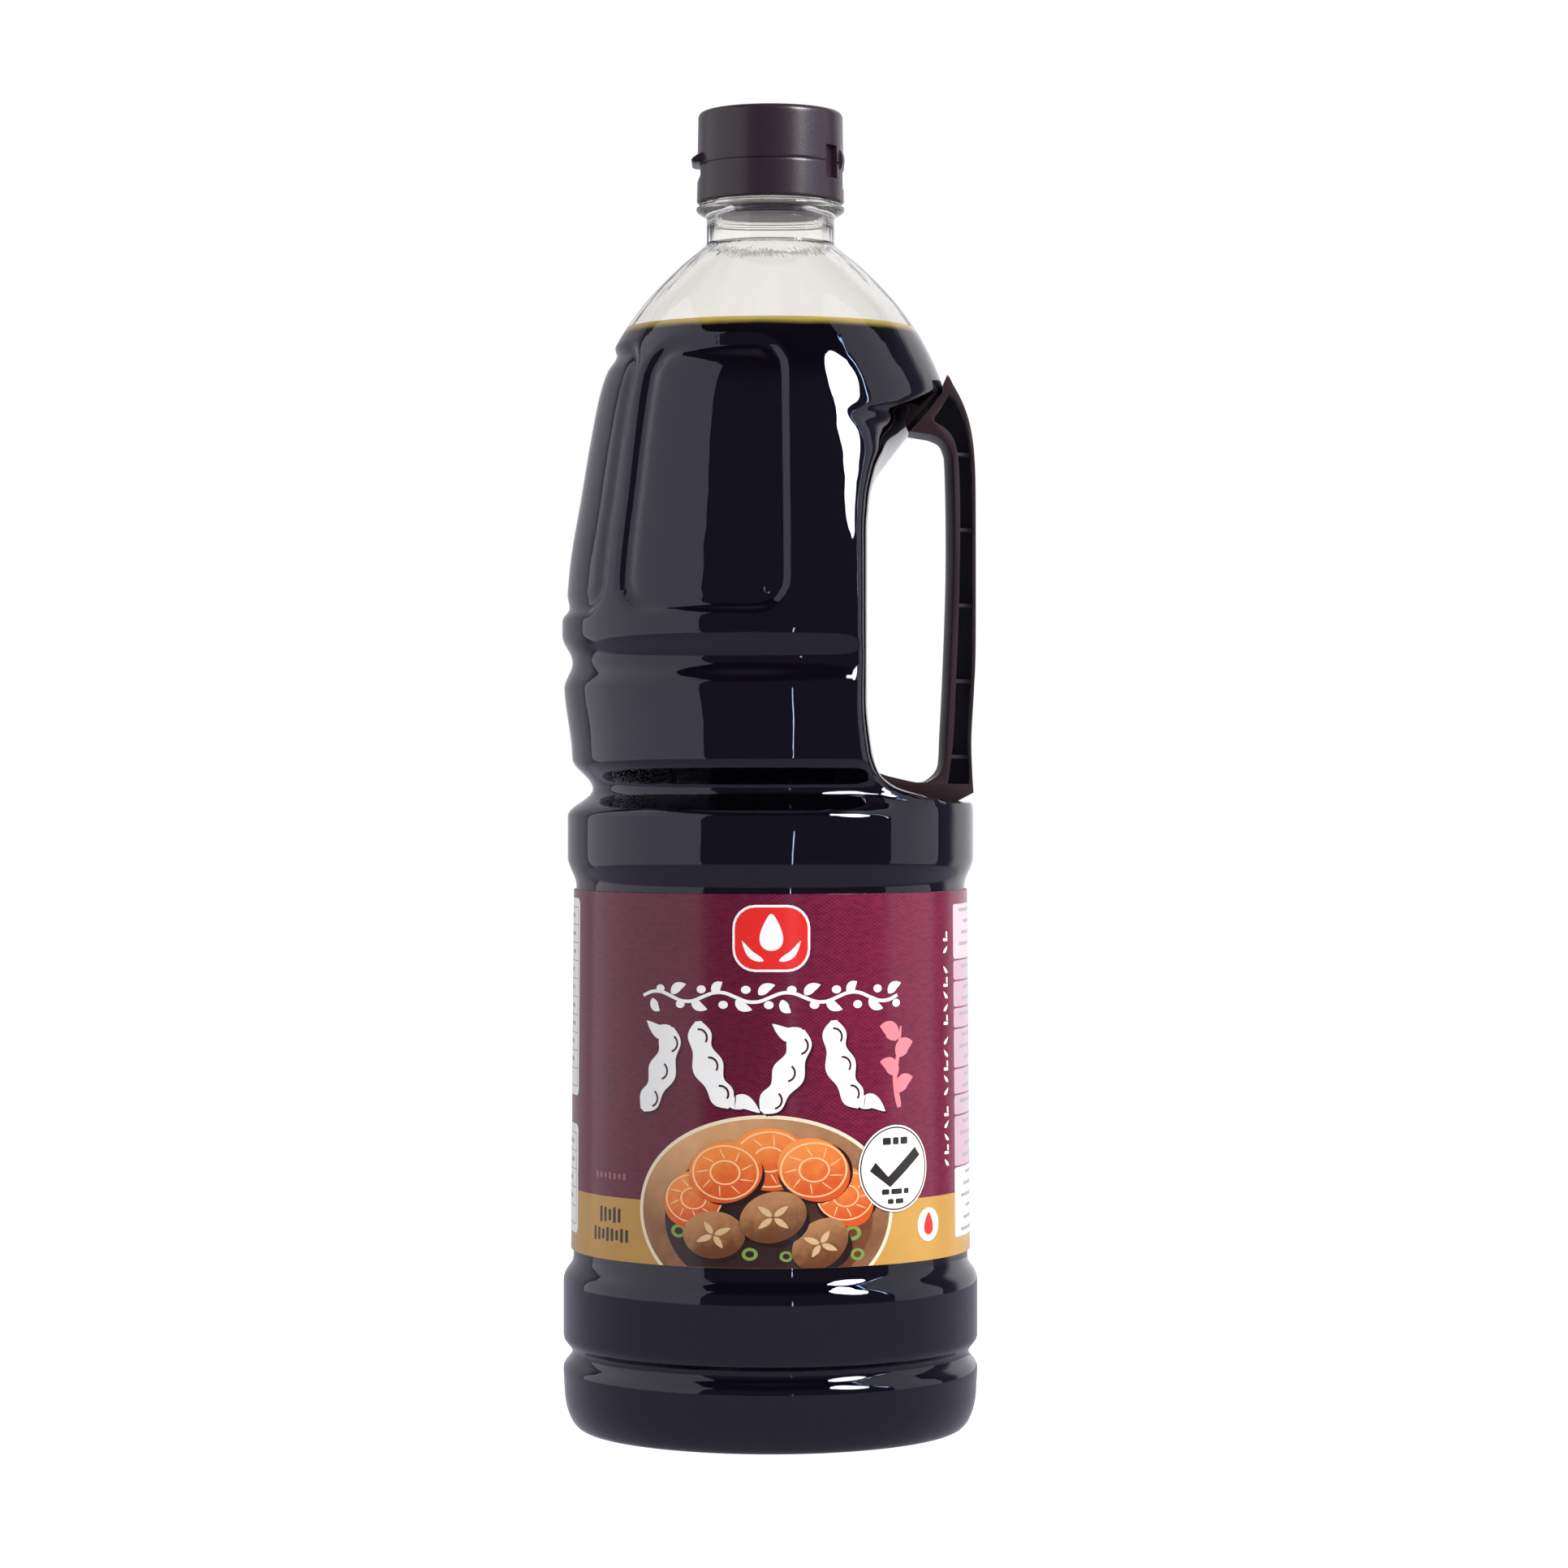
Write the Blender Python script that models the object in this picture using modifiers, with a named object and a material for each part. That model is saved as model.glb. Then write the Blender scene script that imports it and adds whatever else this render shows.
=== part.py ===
"""Soy sauce bottle with a grip handle and a shut flip-top cap, in metres, +Z up.

The bottle stands on its foot ring at z = 0, centred on the Z axis. The front of
the label faces -Y, the handle is on the +X side and the cap's thumb tab is on
the -X side. Every section is symmetric about the XZ plane.
"""
import math

import bmesh
import bpy
from mathutils import Matrix

COLLECTION_NAME = "soy_sauce_bottle"
CUTTER_COLLECTION_NAME = "soy_sauce_bottle_cutters"

# Walls and clearances
WALL = 0.0008
PIECE_GAP = 0.0003
LABEL_THICKNESS = 0.0003
LIQUID_LEVEL = 0.2563
CUTTER_OVERSHOOT = 0.0015
MERGE_DISTANCE = 0.00005
SMOOTH_ANGLE = math.radians(40)

# Base: a flat foot ring round a shallow push-up, and an elliptical heel
PUSH_UP_HEIGHT = 0.0050
PUSH_UP_SHOULDER = (0.0360, 0.0034)
FOOT_INNER_RADIUS = 0.0400
FOOT_OUTER_RADIUS = 0.0437
HEEL_WIDTH = 0.0045
HEEL_HEIGHT = 0.0100
HEEL_ROWS = (0.0, 0.0016, 0.0048)

# Plain body before its grooves, panels and recess: (height, radius)
BODY_PROFILE = (
    (0.0100, 0.0482), (0.0140, 0.0484), (0.0345, 0.0484), (0.0358, 0.0482),
    (0.0372, 0.0475), (0.0386, 0.04645), (0.0398, 0.0461), (0.1265, 0.0454), (0.1330, 0.0474), (0.1425, 0.0474), (0.1560, 0.0464),
    (0.1720, 0.0482), (0.1870, 0.0487), (0.1990, 0.0480), (0.2174, 0.0451),
    (0.2311, 0.0428), (0.2425, 0.0404), (0.2516, 0.0366), (0.2607, 0.0308),
    (0.2698, 0.0224), (0.2761, 0.0150),
)

# Ring grooves: centre height, reach below, reach above, depth
LOWER_GROOVE = (0.0179, 0.0037, 0.0037, 0.0021)
WAIST_GROOVE = (0.1488, 0.0060, 0.0075, 0.0054)
MIDDLE_GROOVE = (0.1786, 0.0064, 0.0062, 0.0022)
# The middle groove is deeper at its front: share, middle angle and reach
MIDDLE_SWELL = (0.5, math.radians(105), math.radians(52))

# Ring grooves run out towards the handle between these angles from +X
WAIST_RUN_OUT = (math.radians(38), math.radians(64))
MIDDLE_RUN_OUT = (math.radians(56), math.radians(74))

# Grip panels: a slightly sunk face with a deeper sunk border round it
PANEL_HEIGHTS = (0.1910, 0.2496)
PANEL_CORNER = 0.0060
PANEL_FACE_DEPTH = 0.0004
PANEL_BORDER_HALF_WIDTH = 0.0027
PANEL_BORDER_DEPTH = 0.0016
SIDE_PANEL_ANGLES = (math.radians(87.0), math.radians(133.5))
END_PANEL_ANGLES = (math.radians(144.0), math.radians(216.0))

# Handle recess: distance of its wall from the axis at each height
RECESS_WALL = (
    (0.1450, 0.0640), (0.1461, 0.0470), (0.1470, 0.0392), (0.1480, 0.0338),
    (0.1498, 0.0282), (0.1530, 0.0246), (0.1580, 0.0230), (0.1700, 0.0218),
    (0.2080, 0.0219), (0.2150, 0.0226), (0.2210, 0.0243), (0.2265, 0.0282),
    (0.2368, 0.0368), (0.2400, 0.0405), (0.2460, 0.0640),
)
RECESS_BLEND = 0.0065
RECESS_HALF_ANGLE = math.radians(85)

# Neck and finish: (height, radius)
NECK_PROFILE = (
    (0.2824, 0.0149), (0.2840, 0.01735), (0.2848, 0.01735), (0.2850, 0.0167),
    (0.2857, 0.0167), (0.2859, 0.0144), (0.2990, 0.0144),
)
NECK_BORE_RADIUS = 0.0128
NECK_BORE_START = 0.2754
MOUTH_HEIGHT = 0.2990

# Heights of the body's section rows and angles of its columns from +X
BODY_ROWS = (
    0.0100, 0.0145, 0.0179, 0.0213, 0.0354, 0.0398, 0.1265, 0.1330, 0.1425,
    0.1448, 0.1464, 0.1478, 0.1498, 0.1530, 0.1585, 0.1650, 0.1738, 0.1786,
    0.1832, 0.1880, 0.1910, 0.1934, 0.2010, 0.2090, 0.2160, 0.2220, 0.2270,
    0.2320, 0.2360, 0.2395, 0.2430, 0.2461, 0.2485, 0.2512, 0.2560, 0.2620,
    0.2685,
)
NECK_BASE_HEIGHT = 0.2761
HALF_COLUMNS = (
    0, 14, 28, 41, 51, 58, 63, 68, 76, 84.5, 87, 89.5, 102, 117, 131, 133.5,
    138.75, 144, 146.5, 157, 168.5, 180,
)

# Label sleeve
LABEL_HEIGHTS = (0.0420, 0.1257)
LABEL_STEPS = 60

# Cap
CAP_BOTTOM = 0.2860
CAP_TOP = 0.3072
CAP_BOTTOM_RADIUS = 0.0172
CAP_TOP_RADIUS = 0.0169
CAP_EDGE_FILLET = 0.0014
CAP_EDGE_TURNS = (math.radians(90), math.radians(45), 0.0)
CAP_SEAM_HEIGHT = 0.2947
CAP_SEAM_HALF_WIDTH = 0.00018
CAP_SEAM_DEPTH = 0.00035
CAP_SOCKET_RADIUS = 0.0148
CAP_SOCKET_TOP = 0.2994
CAP_STEPS = 48
TAB_HALF_WIDTH = 0.0065
TAB_SIDE = (
    (-0.0150, 0.2976), (-0.0172, 0.2965), (-0.0184, 0.2955), (-0.0183, 0.29515),
    (-0.0174, 0.2949), (-0.0150, 0.29485),
)
SCOOP_CENTRE = (-0.0192, 0.2930)
SCOOP_RADIUS = 0.0030
SCOOP_HALF_WIDTH = 0.0050
SCOOP_STEPS = 20
HINGE_ARC_STEPS = 3
HINGE_WINDOW_ANGLES = (math.radians(25), math.radians(41))
HINGE_WINDOW_HEIGHTS = (0.2909, 0.2985)
HINGE_SLOT_HALF_ANGLE = math.radians(10)
HINGE_SLOT_HEIGHTS = (0.2891, 0.2966)
HINGE_DEPTH = 0.0016
STRAP_ANGLE = math.radians(15.5)
STRAP_HEIGHTS = (0.2922, 0.2988)
STRAP_RISE = 0.0005
STRAP_ROOT_DEPTH = 0.0005
STRAP_HALF_WIDTH = 0.0009
STRAP_BOW_STEPS = 6

# Handle outline in the XZ plane, apart from the edges that face the bottle:
# the palm side from the tip down, then the finger side from the foot up.
# The finger points add how far the middle of that face stands proud.
HANDLE_HALF_WIDTH = 0.0100
PALM_SIDE = (
    (0.0423, 0.2429), (0.0443, 0.2392), (0.0459, 0.2349), (0.0469, 0.2300),
    (0.0474, 0.2244), (0.0476, 0.2150), (0.0476, 0.1830), (0.0472, 0.1720),
    (0.0466, 0.1608), (0.0468, 0.1530), (0.0471, 0.1482),
)
FINGER_SIDE = (
    (0.0270, 0.1521, 0.0), (0.0345, 0.1505, 0.0), (0.0377, 0.1514, 0.0005),
    (0.0397, 0.1534, 0.0009), (0.0406, 0.1563, 0.0013), (0.0410, 0.1611, 0.0015),
    (0.0417, 0.1750, 0.0015), (0.0425, 0.1950, 0.0016), (0.0427, 0.2100, 0.0017),
    (0.0424, 0.2240, 0.0017), (0.0416, 0.2278, 0.0014), (0.0398, 0.2302, 0.0009),
    (0.0371, 0.2313, 0.0006),
)
ARM_TIP_HEIGHT = 0.2320
FOOT_TIP_HEIGHT = 0.1530
CONTACT_ROWS = (0.2360, 0.2395, 0.2430)
LEDGE_ROWS = (0.1464, 0.1478, 0.1498)
HANDLE_TIP = (0.0410, 0.2451)
HANDLE_TIP_CHAMFER = (0.0006, -0.0007)
ARM_TIP_BULGE = 0.0005
CONTACT_CLEARANCE = 0.0001
LEDGE_CLEARANCE = 0.00015
TIP_CLEARANCE = 0.0003
BULGE_STATIONS = (-1.0, -0.66, -0.33, 0.0, 0.33, 0.66, 1.0)
POCKET_PALM_SIDE = (
    (0.0416, 0.2407), (0.0437, 0.2381), (0.0453, 0.2343), (0.0463, 0.2298),
    (0.0468, 0.2243), (0.0471, 0.2150), (0.0471, 0.1830), (0.0467, 0.1720),
    (0.0461, 0.1608), (0.0463, 0.1530), (0.0461, 0.1502),
)
POCKET_FINGER_SIDE = (
    (0.0411, 0.1502), (0.0419, 0.1560), (0.0425, 0.1620), (0.0432, 0.1780),
    (0.0438, 0.1950), (0.0440, 0.2130), (0.0437, 0.2240), (0.0427, 0.2296),
)
POCKET_ARM_CORNER = ((0.0400, 0.2331), (0.0381, 0.2345))
WEB_HALF_THICKNESS = 0.0009
RIB_HEIGHTS_FROM = 0.1565
RIB_SPACING = 0.01755
RIB_COUNT = 5
RIB_HALF_THICKNESS = 0.0004
RIB_HALF_WIDTH = 0.0086
RIB_ROOT = 0.0004

# Finishes: base colour, roughness, transmission
FINISHES = {
    "clear_pet": ((0.86, 0.87, 0.82), 0.05, 1.0),
    "dark_sauce": ((0.010, 0.006, 0.006), 0.08, 0.0),
    "cap_plastic": ((0.034, 0.015, 0.020), 0.38, 0.0),
    "handle_plastic": ((0.050, 0.014, 0.015), 0.34, 0.0),
    "label_film": ((0.160, 0.022, 0.068), 0.45, 0.0),
}


class SmoothCurve:
    """A curve through (position, value) points that never overshoots them."""

    def __init__(self, points):
        self.positions = [point[0] for point in points]
        self.values = [point[1] for point in points]
        self.slopes = self.find_slopes()

    def find_slopes(self):
        steps = []
        for i in range(len(self.positions) - 1):
            rise = self.values[i + 1] - self.values[i]
            steps.append(rise / (self.positions[i + 1] - self.positions[i]))
        slopes = [steps[0]]
        for before, after in zip(steps, steps[1:]):
            if before * after <= 0.0:
                slopes.append(0.0)
            else:
                slopes.append(2.0 * before * after / (before + after))
        slopes.append(steps[-1])
        return slopes

    def at(self, position):
        if position <= self.positions[0]:
            return self.values[0]
        if position >= self.positions[-1]:
            return self.values[-1]
        i = 0
        while position > self.positions[i + 1]:
            i += 1
        width = self.positions[i + 1] - self.positions[i]
        t = (position - self.positions[i]) / width
        start = (1 + 2 * t) * (1 - t) ** 2 * self.values[i]
        start += t * (1 - t) ** 2 * width * self.slopes[i]
        end = t * t * (3 - 2 * t) * self.values[i + 1]
        end += t * t * (t - 1) * width * self.slopes[i + 1]
        return start + end


BODY_CURVE = SmoothCurve(BODY_PROFILE)
RECESS_CURVE = SmoothCurve(RECESS_WALL)


def smooth_step(value, low, high):
    t = min(max((value - low) / (high - low), 0.0), 1.0)
    return t * t * (3 - 2 * t)


def smooth_min(a, b, blend):
    """The lesser of two radii, with a rounded corner where they meet."""
    share = min(max(0.5 + 0.5 * (b - a) / blend, 0.0), 1.0)
    return b + (a - b) * share - blend * share * (1 - share)


def bell(distance):
    """1 at the middle of a groove, falling smoothly to 0 at a distance of 1."""
    if abs(distance) >= 1.0:
        return 0.0
    return 0.5 + 0.5 * math.cos(math.pi * distance)


def ring_groove(z, groove):
    centre, below, above, depth = groove
    reach = below if z < centre else above
    return depth * bell((z - centre) / reach)


def panel_depth(angle, z, radius, panel_angles):
    """How far one rounded rectangular panel is sunk, face and border."""
    low, high = PANEL_HEIGHTS
    middle_angle = 0.5 * (panel_angles[0] + panel_angles[1])
    half_height = 0.5 * (high - low)
    half_width = 0.5 * (panel_angles[1] - panel_angles[0]) * radius
    across = abs(angle - middle_angle) * radius - (half_width - PANEL_CORNER)
    up = abs(z - 0.5 * (low + high)) - (half_height - PANEL_CORNER)
    outside = math.hypot(max(across, 0.0), max(up, 0.0))
    distance = outside + min(max(across, up), 0.0) - PANEL_CORNER
    reach = PANEL_BORDER_HALF_WIDTH
    face = PANEL_FACE_DEPTH * smooth_step(-distance, -reach, 0.0)
    return face + (PANEL_BORDER_DEPTH - PANEL_FACE_DEPTH) * bell(distance / reach)


def body_radius(angle, z):
    """Outer radius of the bottle between its heel and its neck."""
    side = abs(angle)
    radius = BODY_CURVE.at(z)
    plain_radius = radius
    radius -= ring_groove(z, LOWER_GROOVE)
    radius -= ring_groove(z, WAIST_GROOVE) * smooth_step(side, *WAIST_RUN_OUT)
    share, middle, reach = MIDDLE_SWELL
    swell = 1.0 + share * bell((side - middle) / reach)
    radius -= ring_groove(z, MIDDLE_GROOVE) * swell * smooth_step(side, *MIDDLE_RUN_OUT)
    radius -= panel_depth(side, z, plain_radius, SIDE_PANEL_ANGLES)
    radius -= panel_depth(side, z, plain_radius, END_PANEL_ANGLES)
    in_recess = RECESS_WALL[0][0] < z < RECESS_WALL[-1][0]
    if in_recess and side < RECESS_HALF_ANGLE:
        wall = RECESS_CURVE.at(z) / math.cos(angle)
        radius = smooth_min(radius, wall, RECESS_BLEND)
    return radius


def column_angles():
    """Angles of the section columns all the way round, from -180 degrees."""
    half = [math.radians(angle) for angle in HALF_COLUMNS]
    return [-angle for angle in reversed(half[1:])] + half[:-1]


def round_ring(z, radius):
    return [
        (radius * math.cos(angle), radius * math.sin(angle), z)
        for angle in column_angles()
    ]


def body_ring(z):
    ring = []
    for angle in column_angles():
        radius = body_radius(angle, z)
        ring.append((radius * math.cos(angle), radius * math.sin(angle), z))
    return ring


def base_rings():
    """Push-up, foot ring and heel, from the inside out and up."""
    rings = [round_ring(PUSH_UP_SHOULDER[1], PUSH_UP_SHOULDER[0])]
    rings.append(round_ring(0.0, FOOT_INNER_RADIUS))
    for z in HEEL_ROWS:
        share = math.sqrt(1.0 - ((HEEL_HEIGHT - z) / HEEL_HEIGHT) ** 2)
        rings.append(round_ring(z, FOOT_OUTER_RADIUS + HEEL_WIDTH * share))
    return rings


def body_rings():
    return [body_ring(z) for z in BODY_ROWS]


def add_skin(mesh, rings, inward=0.0, facing_out=True):
    """Loft a closed-bottomed skin up through rings, set in along its normals."""
    centre = mesh.verts.new((0.0, 0.0, PUSH_UP_HEIGHT))
    rows = [[mesh.verts.new(point) for point in ring] for ring in rings]
    count = len(rows[0])
    faces = []
    for j in range(count):
        faces.append(mesh.faces.new((centre, rows[0][(j + 1) % count], rows[0][j])))
    for lower, upper in zip(rows, rows[1:]):
        for j in range(count):
            k = (j + 1) % count
            faces.append(mesh.faces.new((lower[j], lower[k], upper[k], upper[j])))
    mesh.normal_update()
    if inward:
        for vert in [centre] + [vert for row in rows for vert in row]:
            vert.co -= vert.normal * inward
    if not facing_out:
        bmesh.ops.reverse_faces(mesh, faces=faces)
    return rows


def add_rings_above(mesh, last_row, rings, facing_out=True):
    """Carry a skin on from its last row through more rings."""
    rows = [last_row]
    rows += [[mesh.verts.new(point) for point in ring] for ring in rings]
    for lower, upper in zip(rows, rows[1:]):
        for j in range(len(lower)):
            k = (j + 1) % len(lower)
            corners = (lower[j], lower[k], upper[k], upper[j])
            mesh.faces.new(corners if facing_out else corners[::-1])
    return rows[-1]


def mesh_object(name, mesh, collection):
    data = bpy.data.meshes.new(name)
    mesh.to_mesh(data)
    mesh.free()
    made = bpy.data.objects.new(name, data)
    collection.objects.link(made)
    return made


def make_bottle(collection):
    """The clear bottle: one wall from the foot ring to the open mouth."""
    mesh = bmesh.new()
    outside = add_skin(mesh, base_rings() + body_rings())
    neck = [round_ring(NECK_BASE_HEIGHT, BODY_PROFILE[-1][1])]
    neck += [round_ring(z, radius) for z, radius in NECK_PROFILE]
    mouth_outside = add_rings_above(mesh, outside[-1], neck)
    inside = add_skin(mesh, base_rings() + body_rings(), WALL, facing_out=False)
    bore = [round_ring(z, NECK_BORE_RADIUS) for z in (NECK_BORE_START, MOUTH_HEIGHT)]
    mouth_inside = add_rings_above(mesh, inside[-1], bore, facing_out=False)
    for j in range(len(mouth_outside)):
        k = (j + 1) % len(mouth_outside)
        mesh.faces.new(
            (mouth_outside[j], mouth_outside[k], mouth_inside[k], mouth_inside[j])
        )
    return mesh_object("bottle", mesh, collection)


def make_soy_sauce(collection):
    """The sauce: the bottle's inside, filled up to a flat surface."""
    mesh = bmesh.new()
    add_skin(mesh, base_rings() + body_rings(), WALL + PIECE_GAP)
    cut = bmesh.ops.bisect_plane(
        mesh,
        geom=mesh.verts[:] + mesh.edges[:] + mesh.faces[:],
        plane_co=(0.0, 0.0, LIQUID_LEVEL),
        plane_no=(0.0, 0.0, 1.0),
        clear_outer=True,
    )
    rim = [item for item in cut["geom_cut"] if isinstance(item, bmesh.types.BMEdge)]
    surface = bmesh.ops.contextual_create(mesh, geom=rim)["faces"][0]
    surface.normal_update()
    if surface.normal.z < 0.0:
        surface.normal_flip()
    return mesh_object("soy_sauce", mesh, collection)


def turned_object(name, outline, steps, collection):
    """A turned piece from an outline of (radius, height) points."""
    data = bpy.data.meshes.new(name)
    edges = [(i, i + 1) for i in range(len(outline) - 1)]
    if outline[0][0] > 0.0:
        edges.append((len(outline) - 1, 0))
    data.from_pydata([(radius, 0.0, z) for radius, z in outline], edges, [])
    made = bpy.data.objects.new(name, data)
    collection.objects.link(made)
    screw = made.modifiers.new("turn", "SCREW")
    screw.steps = steps
    screw.render_steps = steps
    screw.use_merge_vertices = True
    screw.merge_threshold = MERGE_DISTANCE
    screw.use_smooth_shade = True
    return made


def make_label(collection):
    """The label: a thin sleeve in the sunk band of the lower body."""
    bottom, top = LABEL_HEIGHTS
    inner_bottom = BODY_CURVE.at(bottom) + PIECE_GAP
    inner_top = BODY_CURVE.at(top) + PIECE_GAP
    outline = (
        (inner_top, top),
        (inner_top + LABEL_THICKNESS, top),
        (inner_bottom + LABEL_THICKNESS, bottom),
        (inner_bottom, bottom),
    )
    return turned_object("label", outline, LABEL_STEPS, collection)


def cap_outline():
    """Half section of the cap, down its outer side and back up its socket."""
    seam_radius = 0.5 * (CAP_BOTTOM_RADIUS + CAP_TOP_RADIUS)
    outline = [(0.0, CAP_TOP)]
    for turn in CAP_EDGE_TURNS:
        radius = CAP_TOP_RADIUS - CAP_EDGE_FILLET * (1 - math.cos(turn))
        outline.append((radius, CAP_TOP - CAP_EDGE_FILLET * (1 - math.sin(turn))))
    outline += [
        (seam_radius, CAP_SEAM_HEIGHT + CAP_SEAM_HALF_WIDTH),
        (seam_radius - CAP_SEAM_DEPTH, CAP_SEAM_HEIGHT),
        (seam_radius, CAP_SEAM_HEIGHT - CAP_SEAM_HALF_WIDTH),
        (CAP_BOTTOM_RADIUS, CAP_BOTTOM),
        (CAP_SOCKET_RADIUS, CAP_BOTTOM),
        (CAP_SOCKET_RADIUS, CAP_SOCKET_TOP),
        (0.0, CAP_SOCKET_TOP),
    ]
    return outline


def prism(name, outline, low, high, to_world, collection):
    """A straight prism on a flat outline, from one level of w to another."""
    mesh = bmesh.new()
    bottom = [mesh.verts.new(to_world(u, v, low)) for u, v in outline]
    top = [mesh.verts.new(to_world(u, v, high)) for u, v in outline]
    mesh.faces.new(bottom)
    mesh.faces.new(top)
    for j in range(len(outline)):
        k = (j + 1) % len(outline)
        mesh.faces.new((bottom[j], bottom[k], top[k], top[j]))
    bmesh.ops.recalc_face_normals(mesh, faces=mesh.faces[:])
    return mesh_object(name, mesh, collection)


def across_y(u, v, w):
    """Places a side outline in the XZ plane, with w along Y."""
    return (u, w, v)


def upright(u, v, w):
    """Places a plan outline in the XY plane, with w along Z."""
    return (u, v, w)


def arc_sector(inner, outer, start, end):
    """Plan outline of a ring sector."""
    steps = HINGE_ARC_STEPS
    angles = [start + (end - start) * i / steps for i in range(steps + 1)]
    far = [(outer * math.cos(a), outer * math.sin(a)) for a in angles]
    near = [(inner * math.cos(a), inner * math.sin(a)) for a in reversed(angles)]
    return far + near


def hide_cutter(cutter):
    cutter.hide_render = True
    cutter.display_type = "WIRE"


def add_boolean(target, operation, tools):
    """Cut or join a collection of tools, with the exact solver."""
    modifier = target.modifiers.new(operation.lower(), "BOOLEAN")
    modifier.operation = operation
    modifier.solver = "EXACT"
    modifier.operand_type = "COLLECTION"
    modifier.collection = tools


def child_collection(name, parent):
    made = bpy.data.collections.new(name)
    parent.children.link(made)
    return made


def make_cap_cutters(cutters):
    """Hinge windows, hinge slot and thumb scoop."""
    floor = CAP_BOTTOM_RADIUS - HINGE_DEPTH
    clear = CAP_BOTTOM_RADIUS + CUTTER_OVERSHOOT
    low, high = HINGE_WINDOW_HEIGHTS
    for sign in (-1, 1):
        start, end = (sign * angle for angle in HINGE_WINDOW_ANGLES)
        sector = arc_sector(floor, clear, start, end)
        prism("hinge_window", sector, low, high, upright, cutters)
    sector = arc_sector(floor, clear, -HINGE_SLOT_HALF_ANGLE, HINGE_SLOT_HALF_ANGLE)
    prism("hinge_slot", sector, *HINGE_SLOT_HEIGHTS, upright, cutters)
    bpy.ops.mesh.primitive_cylinder_add(
        vertices=SCOOP_STEPS,
        radius=SCOOP_RADIUS,
        depth=2 * SCOOP_HALF_WIDTH,
        location=(SCOOP_CENTRE[0], 0.0, SCOOP_CENTRE[1]),
        rotation=(math.radians(90), 0.0, 0.0),
    )
    scoop = bpy.context.active_object
    scoop.name = "thumb_scoop"
    for holder in list(scoop.users_collection):
        holder.objects.unlink(scoop)
    cutters.objects.link(scoop)


def make_cap_additions(additions):
    """Thumb tab and the two hinge straps."""
    prism("tab", TAB_SIDE, -TAB_HALF_WIDTH, TAB_HALF_WIDTH, across_y, additions)
    bottom, top = STRAP_HEIGHTS
    rise = CAP_BOTTOM_RADIUS + STRAP_RISE
    root = CAP_BOTTOM_RADIUS - HINGE_DEPTH
    side = []
    for i in range(STRAP_BOW_STEPS + 1):
        share = i / STRAP_BOW_STEPS
        bow = math.sqrt(max(1.0 - (2 * share - 1) ** 2, 0.0))
        side.append((root + (rise - root) * bow, bottom + (top - bottom) * share))
    side.append((root - STRAP_ROOT_DEPTH, top))
    side.append((root - STRAP_ROOT_DEPTH, bottom))
    half = STRAP_HALF_WIDTH
    for sign in (-1, 1):
        strap = prism("strap", side, -half, half, across_y, additions)
        strap.data.transform(Matrix.Rotation(sign * STRAP_ANGLE, 4, "Z"))


def make_cap(collection, cutter_root):
    """The shut flip-top cap as one moulding, with its seam, tab and hinge."""
    cap = turned_object("cap", cap_outline(), CAP_STEPS, collection)
    cutters = child_collection("cap_cutters", cutter_root)
    additions = child_collection("cap_additions", cutter_root)
    make_cap_cutters(cutters)
    make_cap_additions(additions)
    add_boolean(cap, "DIFFERENCE", cutters)
    add_boolean(cap, "UNION", additions)
    return cap


def handle_outline():
    """Outline points as (x, z, bulge), starting at the tip, palm side first."""
    tip_x, tip_z = HANDLE_TIP
    points = [(tip_x + HANDLE_TIP_CHAMFER[0], tip_z + HANDLE_TIP_CHAMFER[1], 0.0)]
    points += [(x, z, 0.0) for x, z in PALM_SIDE]
    for z in LEDGE_ROWS:
        points.append((body_radius(0.0, z), z + PIECE_GAP + LEDGE_CLEARANCE, 0.0))
    foot = body_radius(0.0, FOOT_TIP_HEIGHT) + PIECE_GAP + TIP_CLEARANCE
    points.append((foot, FOOT_TIP_HEIGHT + PIECE_GAP, 0.0))
    points += list(FINGER_SIDE)
    arm = body_radius(0.0, ARM_TIP_HEIGHT) + PIECE_GAP + TIP_CLEARANCE
    points.append((arm, ARM_TIP_HEIGHT, ARM_TIP_BULGE))
    for z in CONTACT_ROWS:
        points.append((body_radius(0.0, z) + PIECE_GAP + CONTACT_CLEARANCE, z, 0.0))
    points.append((tip_x, tip_z, 0.0))
    return points


def outward_normals(points):
    """Unit normals of a closed clockwise outline at its points."""
    normals = []
    count = len(points)
    for i in range(count):
        before = points[i - 1]
        after = points[(i + 1) % count]
        along_x = after[0] - before[0]
        along_z = after[1] - before[1]
        length = math.hypot(along_x, along_z)
        normals.append((-along_z / length, along_x / length))
    return normals


def make_handle_body(collection):
    """The handle's outline carried across its width, bowed at the fingers."""
    points = handle_outline()
    normals = outward_normals(points)
    mesh = bmesh.new()
    rows = []
    for station in BULGE_STATIONS:
        row = []
        for (x, z, bulge), (nx, nz) in zip(points, normals):
            reach = bulge * (1.0 - station * station)
            place = (x + nx * reach, station * HANDLE_HALF_WIDTH, z + nz * reach)
            row.append(mesh.verts.new(place))
        rows.append(row)
    for near, far in zip(rows, rows[1:]):
        for j in range(len(near)):
            k = (j + 1) % len(near)
            mesh.faces.new((near[j], near[k], far[k], far[j]))
    mesh.faces.new(rows[0])
    mesh.faces.new(rows[-1])
    bmesh.ops.recalc_face_normals(mesh, faces=mesh.faces[:])
    return mesh_object("handle", mesh, collection)


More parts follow.
